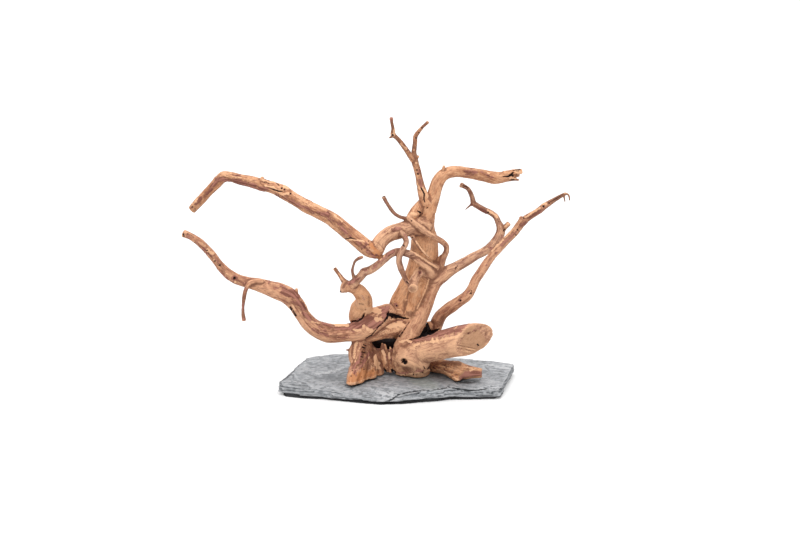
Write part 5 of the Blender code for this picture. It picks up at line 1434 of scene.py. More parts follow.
@dataclass
class SpiderwoodRoot:
    """The root: grown from its limbs, then given ridges, cracks, bark and torn ends."""

    sheet: Sheet
    voxel: float = 0.62
    tube_sides: int = 20
    log_sides: int = 32
    log_cut_point: Triple = (72.5, 60, -35)
    log_cut_facing: Triple = (0.52, -0.84, -0.12)
    soften_times: int = 4
    knob_height: float = 0.55
    knob_spacing: float = 13.0
    ridge_layers: tuple[NoiseLayer, ...] = (
        NoiseLayer(1.0, 0.0, (3.4, 3.4, 30.0)), NoiseLayer(0.5, 50.0, (1.7, 1.7, 16.0)),
    )
    ridge_seed: int = 3
    ridges_full_at: float = 9.0
    ridge_share: tuple[float, float] = (0.4, 1.2)
    wrinkle_seed: int = 5
    wrinkle_height: float = 0.10
    wrinkle_spacing: float = 4.0
    triangles: int = 186000
    seat_height: float = 13.3
    sole_gap: float = 1.5
    sole_tuck: float = 1.7
    # The sole values paint a near-black shadow along the bottom rim of the feet, where they meet the slate.
    sole_shadow: float = 0.9
    sole_shadow_top: float = 1.1
    sole_shadow_fade: float = 0.5
    hollow_rounds: int = 6
    hollow_gain: float = 2.6
    least_radius: float = 1.5
    rugged_gain: float = 2.8
    least_rugged: float = 0.3

    def build(self) -> bpy.types.Object:
        """Make the root's piece with the values that its material reads."""
        grain = GrainField([*ROOT_LIMBS, BIG_LOG], self.sheet)
        marks = SurfaceMarks(ROOT_MARKS, len(Marking), self.sheet, grain.names)
        root = self.grow(grain)
        for area in SOFT_AREAS:
            self.soften_area(root.data, grain, area)
        self.shape_surface(root.data, grain, marks)
        self.thin(root)
        self.record_looks(root.data, grain, marks)
        root.data.shade_smooth()
        return root

    def grow(self, grain: GrainField) -> bpy.types.Object:
        """Join the limbs into one soft body.

        Args:
            grain: the limbs' centre lines.

        Returns:
            The object with its fine mesh.
        """
        root = tube_piece("root_wood", grain.lines[:-1], self.tube_sides)
        log = tube_piece("log", grain.lines[-1:], self.log_sides)
        facing = np.array(self.log_cut_facing) / np.linalg.norm(self.log_cut_facing)
        cut_flat(log.data, self.sheet.point(*self.log_cut_point), facing)
        with edited(root.data) as work:
            work.from_mesh(log.data)
        bpy.data.objects.remove(log)
        apply_modifier(root, "REMESH", mode="VOXEL", voxel_size=self.voxel * MM)
        apply_modifier(root, "SMOOTH", factor=0.5, iterations=self.soften_times)
        return root

    def soften_area(self, mesh: bpy.types.Mesh, grain: GrainField, area: SoftArea) -> None:
        """Smooth the places that an area names.

        Args:
            mesh: the fine mesh.
            grain: the fibres' field.
            area: the area.
        """
        places, _ = read_mesh(mesh)
        across, up = self.sheet.flatten(places).T
        left, right, low, high = area.box
        picked = np.nonzero((across > left) & (across < right) & (up > low) & (up < high))[0]
        chosen = np.zeros(len(places), bool)
        chosen[picked] = np.isin(grain.locate(places[picked]).limb, grain.numbers(area.names))
        soften_where(mesh, chosen, area.rounds)

    def shape_surface(self, mesh: bpy.types.Mesh, grain: GrainField, marks: SurfaceMarks) -> None:
        """Raise ridges, knobs and bark, and press in cracks and holes.

        Args:
            mesh: the fine mesh.
            grain: the fibres' field.
            marks: the root's marks.
        """
        places, normals = read_mesh(mesh)
        spots = grain.locate(places)
        lift = self.knob_height * self.knobs(places)
        ridge_noise, wrinkle_noise = SmoothNoise(self.ridge_seed), SmoothNoise(self.wrinkle_seed)
        wide = np.clip(spots.radius / self.ridges_full_at, *self.ridge_share)
        for layer in self.ridge_layers:
            lift += spots.ridges * layer.at(spots.fibre, ridge_noise) * wide
        lift += self.wrinkle_height * wrinkle_noise.layered(places, self.wrinkle_spacing)
        _, mark_lift = marks.amounts(places, normals, spots.limb)
        places = places + normals * (lift + mark_lift)[:, None]
        sole = ramp(self.seat_height + self.sole_gap - places[:, 2], self.sole_gap)
        places[:, :2] -= normals[:, :2] * (self.sole_tuck * sole)[:, None]
        write_places(mesh, places)

    def knobs(self, places: np.ndarray) -> np.ndarray:
        """The same soft knobs as the solid has."""
        spacing = 1.0 / self.knob_spacing
        return np.array([noise.noise(Vector(place) * spacing) for place in places])

    def thin(self, root: bpy.types.Object) -> None:
        """Bring the mesh down to its number of triangles and cut its feet flat."""
        apply_modifier(root, "TRIANGULATE")
        share = self.triangles / len(root.data.polygons)
        if share < 1.0:
            apply_modifier(root, "DECIMATE", ratio=share, use_collapse_triangulate=True)
        cut_flat(root.data, np.array((0.0, 0.0, self.seat_height)), np.array((0.0, 0.0, -1.0)))

    def record_looks(self, mesh: bpy.types.Mesh, grain: GrainField, marks: SurfaceMarks) -> None:
        """Keep at each vertex what the wood's material needs.

        Args:
            mesh: the finished mesh.
            grain: the fibres' field.
            marks: the root's marks.
        """
        places, normals = read_mesh(mesh)
        spots = grain.locate(places)
        kinds, _ = marks.amounts(places, normals, spots.limb)
        # Hollowness, which the material turns into painted shade and dirt in hollows and a painted highlight
        # on ridges.
        hollow = hollowness(mesh, self.hollow_rounds)
        round_part = np.median(hollow * spots.radius) / np.maximum(spots.radius, self.least_radius)
        hollow = np.clip((hollow - round_part) * self.hollow_gain, -1.0, 1.0)
        # Painted shadow: the lowest millimetre or so of the feet goes near-black, as the contact shadow under
        # them.
        sole = ramp(self.seat_height + self.sole_shadow_top - places[:, 2], self.sole_shadow_fade)
        holes = Marking.DARK.value
        kinds[:, holes] = np.maximum(kinds[:, holes], self.sole_shadow * sole)
        rugged = np.clip(spots.ridges * self.rugged_gain, self.least_rugged, 1.0)
        store_values(mesh, "fibre", *spots.fibre.T)
        store_kinds(mesh, "tones", spots.tones, Tone.ROSY, Tone.GOLDEN, Tone.PALE)
        store_kinds(mesh, "marks", kinds, Marking.BARK, Marking.DARK, Marking.FLECK)
        store_kinds(mesh, "ends", kinds, Marking.CUT, Marking.RUST, Marking.BROWN)
        # These values hold the hollowness behind that painted shade and highlight, the grey tone's share and
        # the ridges' ruggedness.
        store_values(mesh, "wear", hollow, spots.tones[:, Tone.GREY.value], rugged)


@dataclass
class SlateBase:
    """The slate: a flat underside, split sides in thin layers and a cleft top.

    Each of the steps is a place that it passes, the way it faces and its drop. Each
    row of the edge is the top's corner, the underside's corner and the edge's height.
    """

    sheet: Sheet
    thick: float = 13.0
    around: int = 620
    rings_up: int = 21
    rings_in: int = 110
    middle: tuple[float, float] = (2.0, 0.0)
    undercut: float = 3.2
    tuck_depth: float = 4.2
    tuck_slope: float = 0.8
    gap_size: float = 18.0
    gap_spread: float = 0.5
    side_seed: int = 21
    side_squash: float = 6.0
    side_bulge: float = 0.004
    side_wear: tuple[NoiseLayer, ...] = (
        NoiseLayer(0.7, 0.0, (9.0, 9.0, 9.0)), NoiseLayer(0.6, 80.0, (3.5, 3.5, 12.0)),
    )
    side_ledges: NoiseLayer = NoiseLayer(1.0, 40.0, (16.0, 16.0, 7.0))
    ledge_depth: float = 0.5
    wear_limits: tuple[float, float] = (-1.4, 0.5)
    rim_seed: int = 23
    rim_start: float = 0.94
    rim_width: float = 0.06
    rim_chips: float = 0.8
    rim_chip_size: float = 7.0
    slope_share: float = 0.30
    step_slope: float = 1.5
    wander: tuple[tuple[float, float], tuple[float, float]] = ((2.2, 0.09), (1.2, 0.23))
    top_seed: int = 25
    layer_height: float = 0.34
    layer_size: float = 34.0
    layer_count: float = 3.2
    layer_slope: float = 5.0
    layer_base: float = 2.0
    most_layers: float = 5.0
    root_patch: tuple[float, float, float, float] = (4, -2, 62.0, 44.0)
    root_patch_edge: tuple[float, float] = (0.8, 0.3)
    root_patch_height: float = 0.3
    grit_height: float = 0.16
    grit_size: float = 5.0
    grit_shift: float = 9.0
    marks_from: float = 1.0
    hollow_rounds: int = 5
    hollow_gain: float = 3.0
    side_gain: float = 1.2
    undercut_shadow_reach: float = 0.3
    steps: tuple[tuple[float, float, float, float], ...] = (
        (-40, -48, 252, 1.6), (-96, -14, 205, 1.1), (62, -44, 290, 1.2), (88, 30, 20, 0.8),
    )
    edge: tuple[tuple[tuple[float, float], tuple[float, float], float], ...] = (
        ((-116.4, -22), (-117.5, -31), 12.0), ((-108.6, 0), (-111, 0), 12.6),
        ((-98.5, 36), (-100.5, 36), 12.4), ((-92, 57), (-93.5, 59), 12.2),
        ((-81, 66), (-82, 69), 12.4), ((-61.3, 72.5), (-62, 75), 12.6),
        ((-47.2, 73), (-47, 76), 12.4), ((-15, 70), (-15, 73), 12.6),
        ((20, 65), (20, 68), 12.2), ((66, 56), (68, 59), 12.4),
        ((93.6, 50.4), (96, 53), 12.0), ((119.5, 38.5), (120.5, 40), 11.6),
        ((115, 12), (117.5, 27), 11.4), ((110, -14), (113.5, 0), 11.0),
        ((104, -38), (109.5, -24), 10.4), ((101.5, -43), (103.5, -44.6), 10.2),
        ((84, -43), (83.6, -46.5), 9.6), ((60, -45), (58.7, -48), 12.2),
        ((42, -50), (43.7, -55), 12.6), ((24, -54), (23.8, -60), 11.0),
        ((4, -58), (4, -65), 7.0), ((-15, -59), (-16, -66.5), 5.2),
        ((-36, -55), (-35.6, -61.4), 6.6), ((-56, -48), (-55.6, -55), 8.0),
        ((-76, -41), (-75.6, -46.8), 9.2), ((-98, -34), (-96, -43.4), 10.8),
        ((-112, -28), (-113.5, -37), 11.8),
    )

    def build(self) -> bpy.types.Object:
        """Make the slate's piece with the values that its material reads."""
        top, low, height = self.outline()
        rows = self.side_rows(top, low, height) + self.top_rows(top, height)
        verts = [point for row in rows for point in (row * MM).tolist()]
        faces = ring_faces(0, len(rows), self.around)
        hub, last = len(verts), (len(rows) - 1) * self.around
        x, y = self.middle
        verts += [(x * MM, y * MM, self.thick * MM), (x * MM, y * MM, 0.0)]
        for index in range(self.around):
            following = (index + 1) % self.around
            faces.append((last + index, last + following, hub))
            faces.append((following, index, hub + 1))
        slate = mesh_piece("slate_stone", verts, faces)
        with edited(slate.data) as work:
            bmesh.ops.recalc_face_normals(work, faces=work.faces)
        slate.data.shade_smooth()
        places, normals = read_mesh(slate.data)
        marks = SurfaceMarks(SLATE_MARKS, len(StoneMarking), self.sheet)
        _, lift = marks.amounts(places, normals, np.zeros(len(places), int))
        lift[places[:, 2] < self.marks_from] = 0.0
        write_places(slate.data, places + normals * lift[:, None])
        self.record_looks(slate.data, marks)
        return slate

    def outline(self) -> tuple[np.ndarray, np.ndarray, np.ndarray]:
        """Evenly spaced points of the top edge, underside edge and edge height."""
        table = np.array([(*top, *low, height) for top, low, height in self.edge])
        table = np.vstack((table, table[:1]))
        steps = np.linalg.norm(np.diff(table[:, :2], axis=0), axis=1)
        arc = np.concatenate(((0.0,), np.cumsum(steps)))
        spots = np.arange(self.around) / self.around * arc[-1]
        values = np.stack([np.interp(spots, arc, column) for column in table.T], axis=1)
        return values[:, :2], values[:, 2:4], values[:, 4]

    def side_rows(self, top: np.ndarray, low: np.ndarray, height: np.ndarray) -> list[np.ndarray]:
        """Rows of points up the split side, in thin layers.

        Args:
            top: the top edge.
            low: the underside's edge.
            height: the edge's height.

        Returns:
            The rows from the underside to just under the top edge.
        """
        layers = SmoothNoise(self.side_seed)
        rows = []
        for share in np.linspace(0.0, 1.0, self.rings_up + 1)[:-1]:
            plan = low + (top - low) * share
            z = height * share
            reach = np.linalg.norm(plan, axis=1)
            outward = plan / reach[:, None]
            spots = np.column_stack((plan, z * self.side_squash))
            wear = sum(layer.at(spots, layers) for layer in self.side_wear)
            wear += self.ledge_depth * np.sign(self.side_ledges.at(spots, layers))
            bulge = self.side_bulge * reach * math.sin(math.pi * share)
            level = np.column_stack((plan, np.zeros(len(plan))))
            gap = self.undercut * (1.0 + self.gap_spread * layers.at(level, self.gap_size))
            wear = np.clip(wear, *self.wear_limits) - ramp(gap - z, self.tuck_slope) * self.tuck_depth
            rows.append(np.column_stack((plan + outward * (wear + bulge)[:, None], z)))
        return rows

    def top_rows(self, top: np.ndarray, height: np.ndarray) -> list[np.ndarray]:
        """Rows of points from the top's edge to its middle.

        Args:
            top: the top edge.
            height: the edge's height.

        Returns:
            The rows.
        """
        middle = np.array(self.middle)
        chips = SmoothNoise(self.rim_seed)
        outward = (top - middle) / np.linalg.norm(top - middle, axis=1)[:, None]
        rows = []
        for share in np.linspace(1.0, 0.0, self.rings_in, endpoint=False):
            plan = middle + (top - middle) * share
            spots = np.column_stack((plan, np.zeros(len(plan))))
            rim = ramp(share - self.rim_start, self.rim_width)
            plan = plan + outward * (self.rim_chips * chips.layered(spots, self.rim_chip_size) * rim)[:, None]
            drop = (self.thick - height) * np.clip(1.0 - (1.0 - share) / self.slope_share, 0.0, 1.0)
            rows.append(np.column_stack((plan, np.minimum(self.top_height(plan), self.thick - drop))))
        return rows

    def top_height(self, plan: np.ndarray) -> np.ndarray:
        """Height of the cleft top at places in plan.

        Args:
            plan: N by 2 array of x and y.

        Returns:
            N heights in millimetres.
        """
        x, y = plan.T
        height = np.full(len(plan), self.thick)
        (large, slow), (small, quick) = self.wander
        for step_x, step_y, facing, drop in self.steps:
            angle = math.radians(facing)
            past = (x - step_x) * math.cos(angle) + (y - step_y) * math.sin(angle)
            past = past + large * np.sin(slow * (x - y)) + small * np.sin(quick * (x + y))
            height -= drop * ramp(past, self.step_slope)
        cleft = SmoothNoise(self.top_seed)
        spots = np.column_stack((plan, np.zeros(len(plan))))
        level = cleft.layered(spots, self.layer_size) * self.layer_count
        layers = np.floor(level) + np.clip((level - np.floor(level)) * self.layer_slope, 0.0, 1.0)
        layers = np.clip(layers + self.layer_base, 0.0, self.most_layers)
        root_x, root_y, long, wide = self.root_patch
        inner, fade = self.root_patch_edge
        clear = ramp(np.hypot((x - root_x) / long, (y - root_y) / wide) - inner, fade)
        share = self.root_patch_height + (1.0 - self.root_patch_height) * clear
        height -= self.layer_height * layers * share
        height -= self.grit_height * (cleft.layered(spots + self.grit_shift, self.grit_size) + 1.0)
        return height

    def record_looks(self, mesh: bpy.types.Mesh, marks: SurfaceMarks) -> None:
        """Keep at each vertex what the slate's material needs.

        Args:
            mesh: the finished mesh.
            marks: the slate's marks.
        """
        places, normals = read_mesh(mesh)
        kinds, _ = marks.amounts(places, normals, np.zeros(len(places), int))
        hollow = np.clip(hollowness(mesh, self.hollow_rounds) * self.hollow_gain, -1.0, 1.0)
        side = np.clip(1.0 - normals[:, 2] * self.side_gain, 0.0, 1.0)
        # Painted shadow: the bottom band of the side, in the undercut, goes black.
        low = ramp(self.undercut + self.undercut_shadow_reach - places[:, 2], self.tuck_slope)
        store_values(mesh, "stone", hollow, side, low)
        store_kinds(mesh, "splits_chips_shade", kinds, StoneMarking.CRACK_AND_SHADOW, StoneMarking.CHIP, StoneMarking.PAINTED_SHADE)
        store_kinds(mesh, "tint", kinds, *[StoneMarking.OLIVE] * 3)


class Board:
    """Places and wires nodes in one node tree."""

    MIX_INPUTS = (0, 6, 7)
    MIX_RESULT = 2
    BUMP_STRENGTH = 0.8

    def __init__(self, tree: bpy.types.NodeTree) -> None:
        """Keep the tree."""
        self.tree = tree

    def add(self, kind: str, inputs: dict | None = None, **settings: object) -> bpy.types.Node:
        """Add a node.

        Args:
            kind: Blender's name for the node.
            inputs: values or sockets for its inputs, by name or number.
            settings: values for the node itself.

        Returns:
            The node.
        """
        node = self.tree.nodes.new(kind)
        for key, value in settings.items():
            setattr(node, key, value)
        for key, value in (inputs or {}).items():
            self.feed(node.inputs[key], value)
        return node

    def feed(self, socket: bpy.types.NodeSocket, value: Wire) -> None:
        """Give an input a value, or wire a socket to it."""
        if isinstance(value, bpy.types.NodeSocket):
            self.tree.links.new(value, socket)
        elif isinstance(value, tuple) and socket.type == "RGBA" and len(value) == 3:
            socket.default_value = (*value, 1.0)
        else:
            socket.default_value = value

    def calc(self, operation: str, *values: Wire) -> bpy.types.NodeSocket:
        """Result of a Math node."""
        return self.add("ShaderNodeMath", dict(enumerate(values)), operation=operation).outputs[0]

    def times(self, first: Wire, second: Wire) -> bpy.types.NodeSocket:
        """Two values multiplied."""
        return self.calc("MULTIPLY", first, second)

    def total(self, *terms: tuple[Wire, Wire]) -> bpy.types.NodeSocket:
        """Sum of values, each multiplied by its own factor."""
        result = self.times(*terms[0])
        for term in terms[1:]:
            result = self.calc("ADD", result, self.times(*term))
        return result

    def stretch(self, place: Wire, factors: Triple) -> bpy.types.NodeSocket:
        """A vector multiplied part by part."""
        return self.add("ShaderNodeVectorMath", {0: place, 1: factors}, operation="MULTIPLY").outputs[0]

    def spread(
        self, value: Wire, low: Wire, high: Wire, most: float = 1.0, least: float = 0.0,
    ) -> bpy.types.NodeSocket:
        """A value taken smoothly from one range to another.

        Args:
            value: the value.
            low: where the first range starts.
            high: where it ends.
            most: result at high.
            least: result at low.

        Returns:
            The result's socket.
        """
        inputs = {0: value, 1: low, 2: high, 3: least, 4: most}
        return self.add("ShaderNodeMapRange", inputs, interpolation_type="SMOOTHSTEP").outputs[0]

    def coats(self, colour: Wire, *coats: tuple[Wire, Wire]) -> bpy.types.NodeSocket:
        """Colours laid one after another over a first one.

        Args:
            colour: the first colour.
            coats: for each coat, how much of it there is, and its colour.

        Returns:
            The result's socket.
        """
        for share, coat in coats:
            node = self.add("ShaderNodeMix", data_type="RGBA")
            for number, value in zip(self.MIX_INPUTS, (share, colour, coat)):
                self.feed(node.inputs[number], value)
            colour = node.outputs[self.MIX_RESULT]
        return colour

    def parts(self, name: str) -> list[bpy.types.NodeSocket]:
        """The three numbers that the mesh keeps under a name."""
        return list(self.add("ShaderNodeSeparateXYZ", {0: self.vector(name)}).outputs)

    def vector(self, name: str) -> bpy.types.NodeSocket:
        """The vector that the mesh keeps under a name."""
        return self.add("ShaderNodeAttribute", attribute_name=name).outputs["Vector"]

    def group(self, tree: bpy.types.NodeTree, *values: Wire) -> bpy.types.NodeSocket:
        """Result of a node group placed with its own values, in the order of its inputs."""
        return self.add("ShaderNodeGroup", dict(enumerate(values)), node_tree=tree).outputs[0]

    def bump(self, height: Wire, distance: float) -> bpy.types.NodeSocket:
        """Normal of a surface with this relief, its distance in millimetres."""
        inputs = {"Strength": self.BUMP_STRENGTH, "Distance": distance * MM, "Height": height}
        return self.add("ShaderNodeBump", inputs).outputs[0]


class Effects:
    """Node groups that the materials share."""

    BREAK_DETAIL = 3.0
    DOT_EDGE = (0.10, 0.28)

    def __init__(self) -> None:
        """Build each group once."""
        self.streaks = self.make_streaks()
        self.broken_edge = self.make_broken_edge()
        self.specks = self.make_specks()

    @staticmethod
    def start(name: str, vector: str, values: dict[str, float], output: str) -> tuple[Board, list]:
        """A new group with one vector input, further number inputs and one output.

        Args:
            name: the group's name.
            vector: the vector input's name.
            values: name and first value of each number input.
            output: the output's name.

        Returns:
            Its board, and its inputs' sockets followed by its output's.
        """
        tree = bpy.data.node_groups.new(name, "ShaderNodeTree")
        tree.interface.new_socket(name=vector, in_out="INPUT", socket_type="NodeSocketVector")
        for label, value in values.items():
            socket = tree.interface.new_socket(name=label, in_out="INPUT", socket_type="NodeSocketFloat")
            socket.default_value = value
        tree.interface.new_socket(name=output, in_out="OUTPUT", socket_type="NodeSocketFloat")
        board = Board(tree)
        entry, leave = board.add("NodeGroupInput"), board.add("NodeGroupOutput")
        return board, [*(entry.outputs[label] for label in (vector, *values)), leave.inputs[0]]

    def make_streaks(self) -> bpy.types.NodeTree:
        """Noise drawn out along one direction, as wood fibres and slate bands are."""
        values = {"Across": 2.0, "Along": 20.0, "Detail": 3.0}
        board, (place, across, along, detail, leave) = self.start("streaks", "Place", values, "Value")
        across, along = board.calc("DIVIDE", 1.0, across), board.calc("DIVIDE", 1.0, along)
        stretch = board.add("ShaderNodeCombineXYZ", {0: across, 1: across, 2: along}).outputs[0]
        grain = board.add("ShaderNodeTexNoise", {
            "Vector": board.stretch(place, stretch), "Scale": 1.0, "Detail": detail})
        board.feed(leave, grain.outputs[0])
        return board.tree

    def make_broken_edge(self) -> bpy.types.NodeTree:
        """Turns a soft mask into a crisp one with a ragged edge."""
        values = {"Mask": 0.0, "Size": 1.0, "Break": 0.5, "Softness": 0.12}
        board, (place, mask, size, rough, soft, leave) = self.start("broken_edge", "Place", values, "Mask")
        lumps = board.add("ShaderNodeTexNoise", {
            "Vector": place, "Scale": board.calc("DIVIDE", 1.0, size), "Detail": self.BREAK_DETAIL})
        shift = board.times(board.calc("SUBTRACT", lumps.outputs[0], 0.5), rough)
        low, high = board.calc("SUBTRACT", 0.5, soft), board.calc("ADD", 0.5, soft)
        board.feed(leave, board.spread(board.calc("ADD", mask, shift), low, high))
        return board.tree

    def make_specks(self) -> bpy.types.NodeTree:
        """Small scattered dots, some cells with one and some without."""
        board, (place, size, share, leave) = self.start(
            "specks", "Place", {"Size": 2.0, "Share": 0.3}, "Mask")
        cells = board.add("ShaderNodeTexVoronoi", {
            "Vector": place, "Scale": board.calc("DIVIDE", 1.0, size)})
        dot = board.spread(cells.outputs["Distance"], *self.DOT_EDGE, 0.0, 1.0)
        pick = board.add("ShaderNodeSeparateColor", {0: cells.outputs["Color"]}).outputs[0]
        board.feed(leave, board.times(dot, board.calc("LESS_THAN", pick, share)))
        return board.tree


def new_material(name: str) -> tuple[bpy.types.Material, Board, bpy.types.bpy_prop_collection]:
    """A new material, the board of its nodes and its shader's inputs."""
    material = bpy.data.materials.new(name)
    material.use_nodes = True
    tree = material.node_tree
    return material, Board(tree), tree.nodes["Principled BSDF"].inputs


@dataclass(frozen=True)
class WoodFinish:
    """Colours and surface of the weathered wood.

    Streaks, patches and scraps have a width, length and detail. Each mark's edge
    has the size of its breaks, how far they reach and how soft it is. Specks have
    a size and the share of places that has one.
    """

    tan: Triple = (0.47, 0.213, 0.108)
    rosy: Triple = (0.53, 0.258, 0.156)
    golden: Triple = (0.64, 0.300, 0.142)
    pale: Triple = (0.525, 0.286, 0.178)
    grey: Triple = (0.365, 0.206, 0.145)
    bark: Triple = (0.145, 0.051, 0.038)
    worn_bark: Triple = (0.33, 0.140, 0.107)
    dark: Triple = (0.010, 0.005, 0.005)
    fleck: Triple = (0.68, 0.395, 0.23)
    cut: Triple = (0.41, 0.225, 0.125)
    rust: Triple = (0.44, 0.172, 0.064)
    brown: Triple = (0.15, 0.060, 0.036)
    shade: Triple = (0.20, 0.080, 0.042)
    vein: Triple = (0.19, 0.070, 0.043)
    coarse_streaks: Triple = (2.6, 34.0, 3.0)
    medium_streaks: Triple = (1.0, 13.0, 4.0)
    fine_streaks: Triple = (0.35, 4.5, 3.0)
    patches: Triple = (9.0, 22.0, 2.0)
    scraps: Triple = (1.8, 7.0, 6.0)
    rust_edge: Triple = (2.4, 1.6, 0.35)
    brown_edge: Triple = (1.6, 1.0, 0.3)
    bark_edge: Triple = (1.1, 1.5, 0.12)
    fleck_edge: Triple = (0.9, 1.2, 0.2)
    dark_edge: Triple = (0.7, 0.4, 0.25)
    specks: tuple[float, float] = (2.6, 0.16)
    roughness: float = 0.62
    bark_roughness: float = 0.8
    specular: float = 0.15
    bump_height: float = 0.35

    def make(self, effects: Effects) -> bpy.types.Material:
        """The wood's material.

        Args:
            effects: the shared node groups.

        Returns:
            The material.
        """
        material, board, shader = new_material("weathered_wood_grain")
        spread, times = board.spread, board.times
        fibre = board.vector("fibre")
        rosy, golden, pale = board.parts("tones")
        bark, dark, fleck = board.parts("marks")
        cut, rust, brown = board.parts("ends")
        hollow, grey, rugged = board.parts("wear")
        coarse, medium, fine, patchy, scraps = (
            board.group(effects.streaks, fibre, *size) for size in (
                self.coarse_streaks, self.medium_streaks, self.fine_streaks, self.patches, self.scraps))
        rust, brown, bark, fleck, dark = (
            board.group(effects.broken_edge, fibre, mask, *edge) for mask, edge in (
                (rust, self.rust_edge), (brown, self.brown_edge), (bark, self.bark_edge),
                (fleck, self.fleck_edge), (dark, self.dark_edge)))
        specks = board.group(effects.specks, fibre, *self.specks)
        colour = board.coats(
            self.tan, (rosy, self.rosy), (golden, self.golden), (pale, self.pale), (grey, self.grey),
            (spread(patchy, 0.40, 0.62, 0.35), self.shade),
            (spread(patchy, 0.56, 0.36, 0.35), self.fleck),
            (times(spread(coarse, 0.46, 0.66, 0.5), rugged), self.shade),
            (times(spread(medium, 0.52, 0.66, 0.62), rugged), self.vein),
            (spread(medium, 0.46, 0.32, 0.5), self.fleck),
            (spread(fine, 0.50, 0.68, 0.45), self.vein),
            (spread(fine, 0.44, 0.30, 0.35), self.fleck),
            (times(spread(scraps, 0.56, 0.60, 0.66), rugged), self.bark),
            (spread(scraps, 0.44, 0.38, 0.40), self.fleck),
            # Hollows darken towards brown as painted shade and dirt; ridges lighten as a painted highlight.
            (spread(hollow, 0.08, 0.8, 0.75), self.brown),
            (spread(hollow, -0.05, -0.6, 0.35), self.fleck),
            (times(cut, 0.8), self.cut), (times(rust, 0.75), self.rust), (times(brown, 0.7), self.brown),
            (times(bark, 0.9), board.coats(self.worn_bark, (spread(coarse, 0.42, 0.60), self.bark))),
            (times(fleck, 0.88), self.fleck), (times(specks, 0.55), self.brown),
            # Near-black painted shade in cracks, holes, the cavity, gaps between limbs and under the feet,
            # fringed with brown.
            (dark, board.coats(self.brown, (spread(dark, 0.45, 0.98), self.dark))),
        )
        rough = board.calc("ADD", self.roughness, times(bark, self.bark_roughness - self.roughness))
        rough = board.calc("ADD", rough, spread(medium, 0.3, 0.7, 0.08, -0.06))
        height = board.total(
            (coarse, 0.9), (medium, -0.8), (fine, -0.35), (bark, 0.55), (fleck, 0.35), (specks, -0.5))
        board.feed(shader["Base Color"], colour)
        board.feed(shader["Roughness"], rough)
        board.feed(shader["Normal"], board.bump(height, self.bump_height))
        shader["Specular IOR Level"].default_value = self.specular
        return material


@dataclass(frozen=True)
class SlateFinish:
    """Colours and surface of the grey slate.

    Its streaks, edges and specks are given as the wood's are.
    """

    grey: Triple = (0.215, 0.224, 0.236)
    light: Triple = (0.36, 0.366, 0.378)
    deep: Triple = (0.078, 0.084, 0.091)
    black: Triple = (0.012, 0.012, 0.014)
    chipped: Triple = (0.45, 0.455, 0.465)
    olive: Triple = (0.23, 0.252, 0.222)
    bands: Triple = (2.2, 26.0, 5.0)
    fine_streaks: Triple = (0.7, 5.0, 4.0)
    clouds: Triple = (24.0, 24.0, 3.0)
    mottle: Triple = (4.5, 4.5, 6.0)
    layers: Triple = (1.0, 1.0, 3.0)
    layer_stretch: Triple = (0.09, 0.09, 1.4)
    specks: tuple[float, float] = (1.3, 0.4)
    pits: tuple[float, float] = (1.7, 0.35)
    chip_edge: Triple = (1.3, 2.2, 0.2)
    crack_edge: Triple = (1.0, 0.8, 0.25)
    band_axis: Triple = (0.35, 1.0, 0.0)
    band_turn: float = 1.5708
    roughness: float = 0.7
    bump_height: float = 0.5

    def make(self, effects: Effects) -> bpy.types.Material:
        """The slate's material.

        Args:
            effects: the shared node groups.

        Returns:
            The material.
        """
        material, board, shader = new_material("cleft_grey_slate")
        spread, times = board.spread, board.times
        metres = board.add("ShaderNodeTexCoord").outputs["Object"]
        place = board.stretch(metres, (1.0 / MM, 1.0 / MM, 1.0 / MM))
        turned = board.add("ShaderNodeVectorRotate", {
            "Vector": place, "Axis": self.band_axis, "Angle": self.band_turn}).outputs[0]
        hollow, side, low = board.parts("stone")
        crack_and_shadow, chip, painted_shade = board.parts("splits_chips_shade")
        olive = board.parts("tint")[0]
        bands, fine, clouds, mottle, layers = (
            board.group(effects.streaks, spot, *size) for spot, size in (
                (turned, self.bands), (turned, self.fine_streaks), (place, self.clouds),
                (place, self.mottle), (board.stretch(place, self.layer_stretch), self.layers)))
        specks = board.group(effects.specks, place, *self.specks)
        pits = board.group(effects.specks, turned, *self.pits)
        chip = board.group(effects.broken_edge, place, chip, *self.chip_edge)
        crack_and_shadow = board.group(effects.broken_edge, place, crack_and_shadow, *self.crack_edge)
        colour = board.coats(
            self.grey, (spread(bands, 0.38, 0.64), self.light),
            (spread(clouds, 0.42, 0.68, 0.32), self.deep),
            (spread(mottle, 0.50, 0.64, 0.58), self.deep),
            (spread(mottle, 0.47, 0.35, 0.6), self.light),
            (times(olive, 0.8), self.olive),
            (spread(fine, 0.48, 0.70, 0.5), self.deep),
            (spread(fine, 0.46, 0.30, 0.4), self.light),
            # Painted shade below the top's steps, under the root and along the front edge.
            (times(painted_shade, 0.6), self.deep),
            # Painted shade: the split sides are darker than the top, the more so the less they face up.
            (times(side, 0.35), self.deep),
            (times(side, spread(layers, 0.48, 0.64, 0.28)), self.deep),
            (times(specks, 0.5), self.light),
            (times(pits, 0.5), self.deep),
            # Painted shade in the hollows and a painted highlight on the raised edges.
            (spread(hollow, 0.1, 0.9, 0.6), self.deep),
            (spread(hollow, -0.1, -0.8, 0.6), self.light),
            (times(chip, 0.6), self.chipped),
            # Near-black split lines, and the painted shadows under the feet and the lip.
            (times(crack_and_shadow, 0.9), self.black),
            # Painted shadow in the undercut along the slate's foot.
            (low, self.black),
        )
        rough = spread(bands, 0.3, 0.7, self.roughness + 0.1, self.roughness - 0.08)
        height = board.total((bands, 0.9), (fine, -0.6), (times(layers, side), 2.4))
        board.feed(shader["Base Color"], colour)
        board.feed(shader["Roughness"], rough)
        board.feed(shader["Normal"], board.bump(height, self.bump_height))
        return material


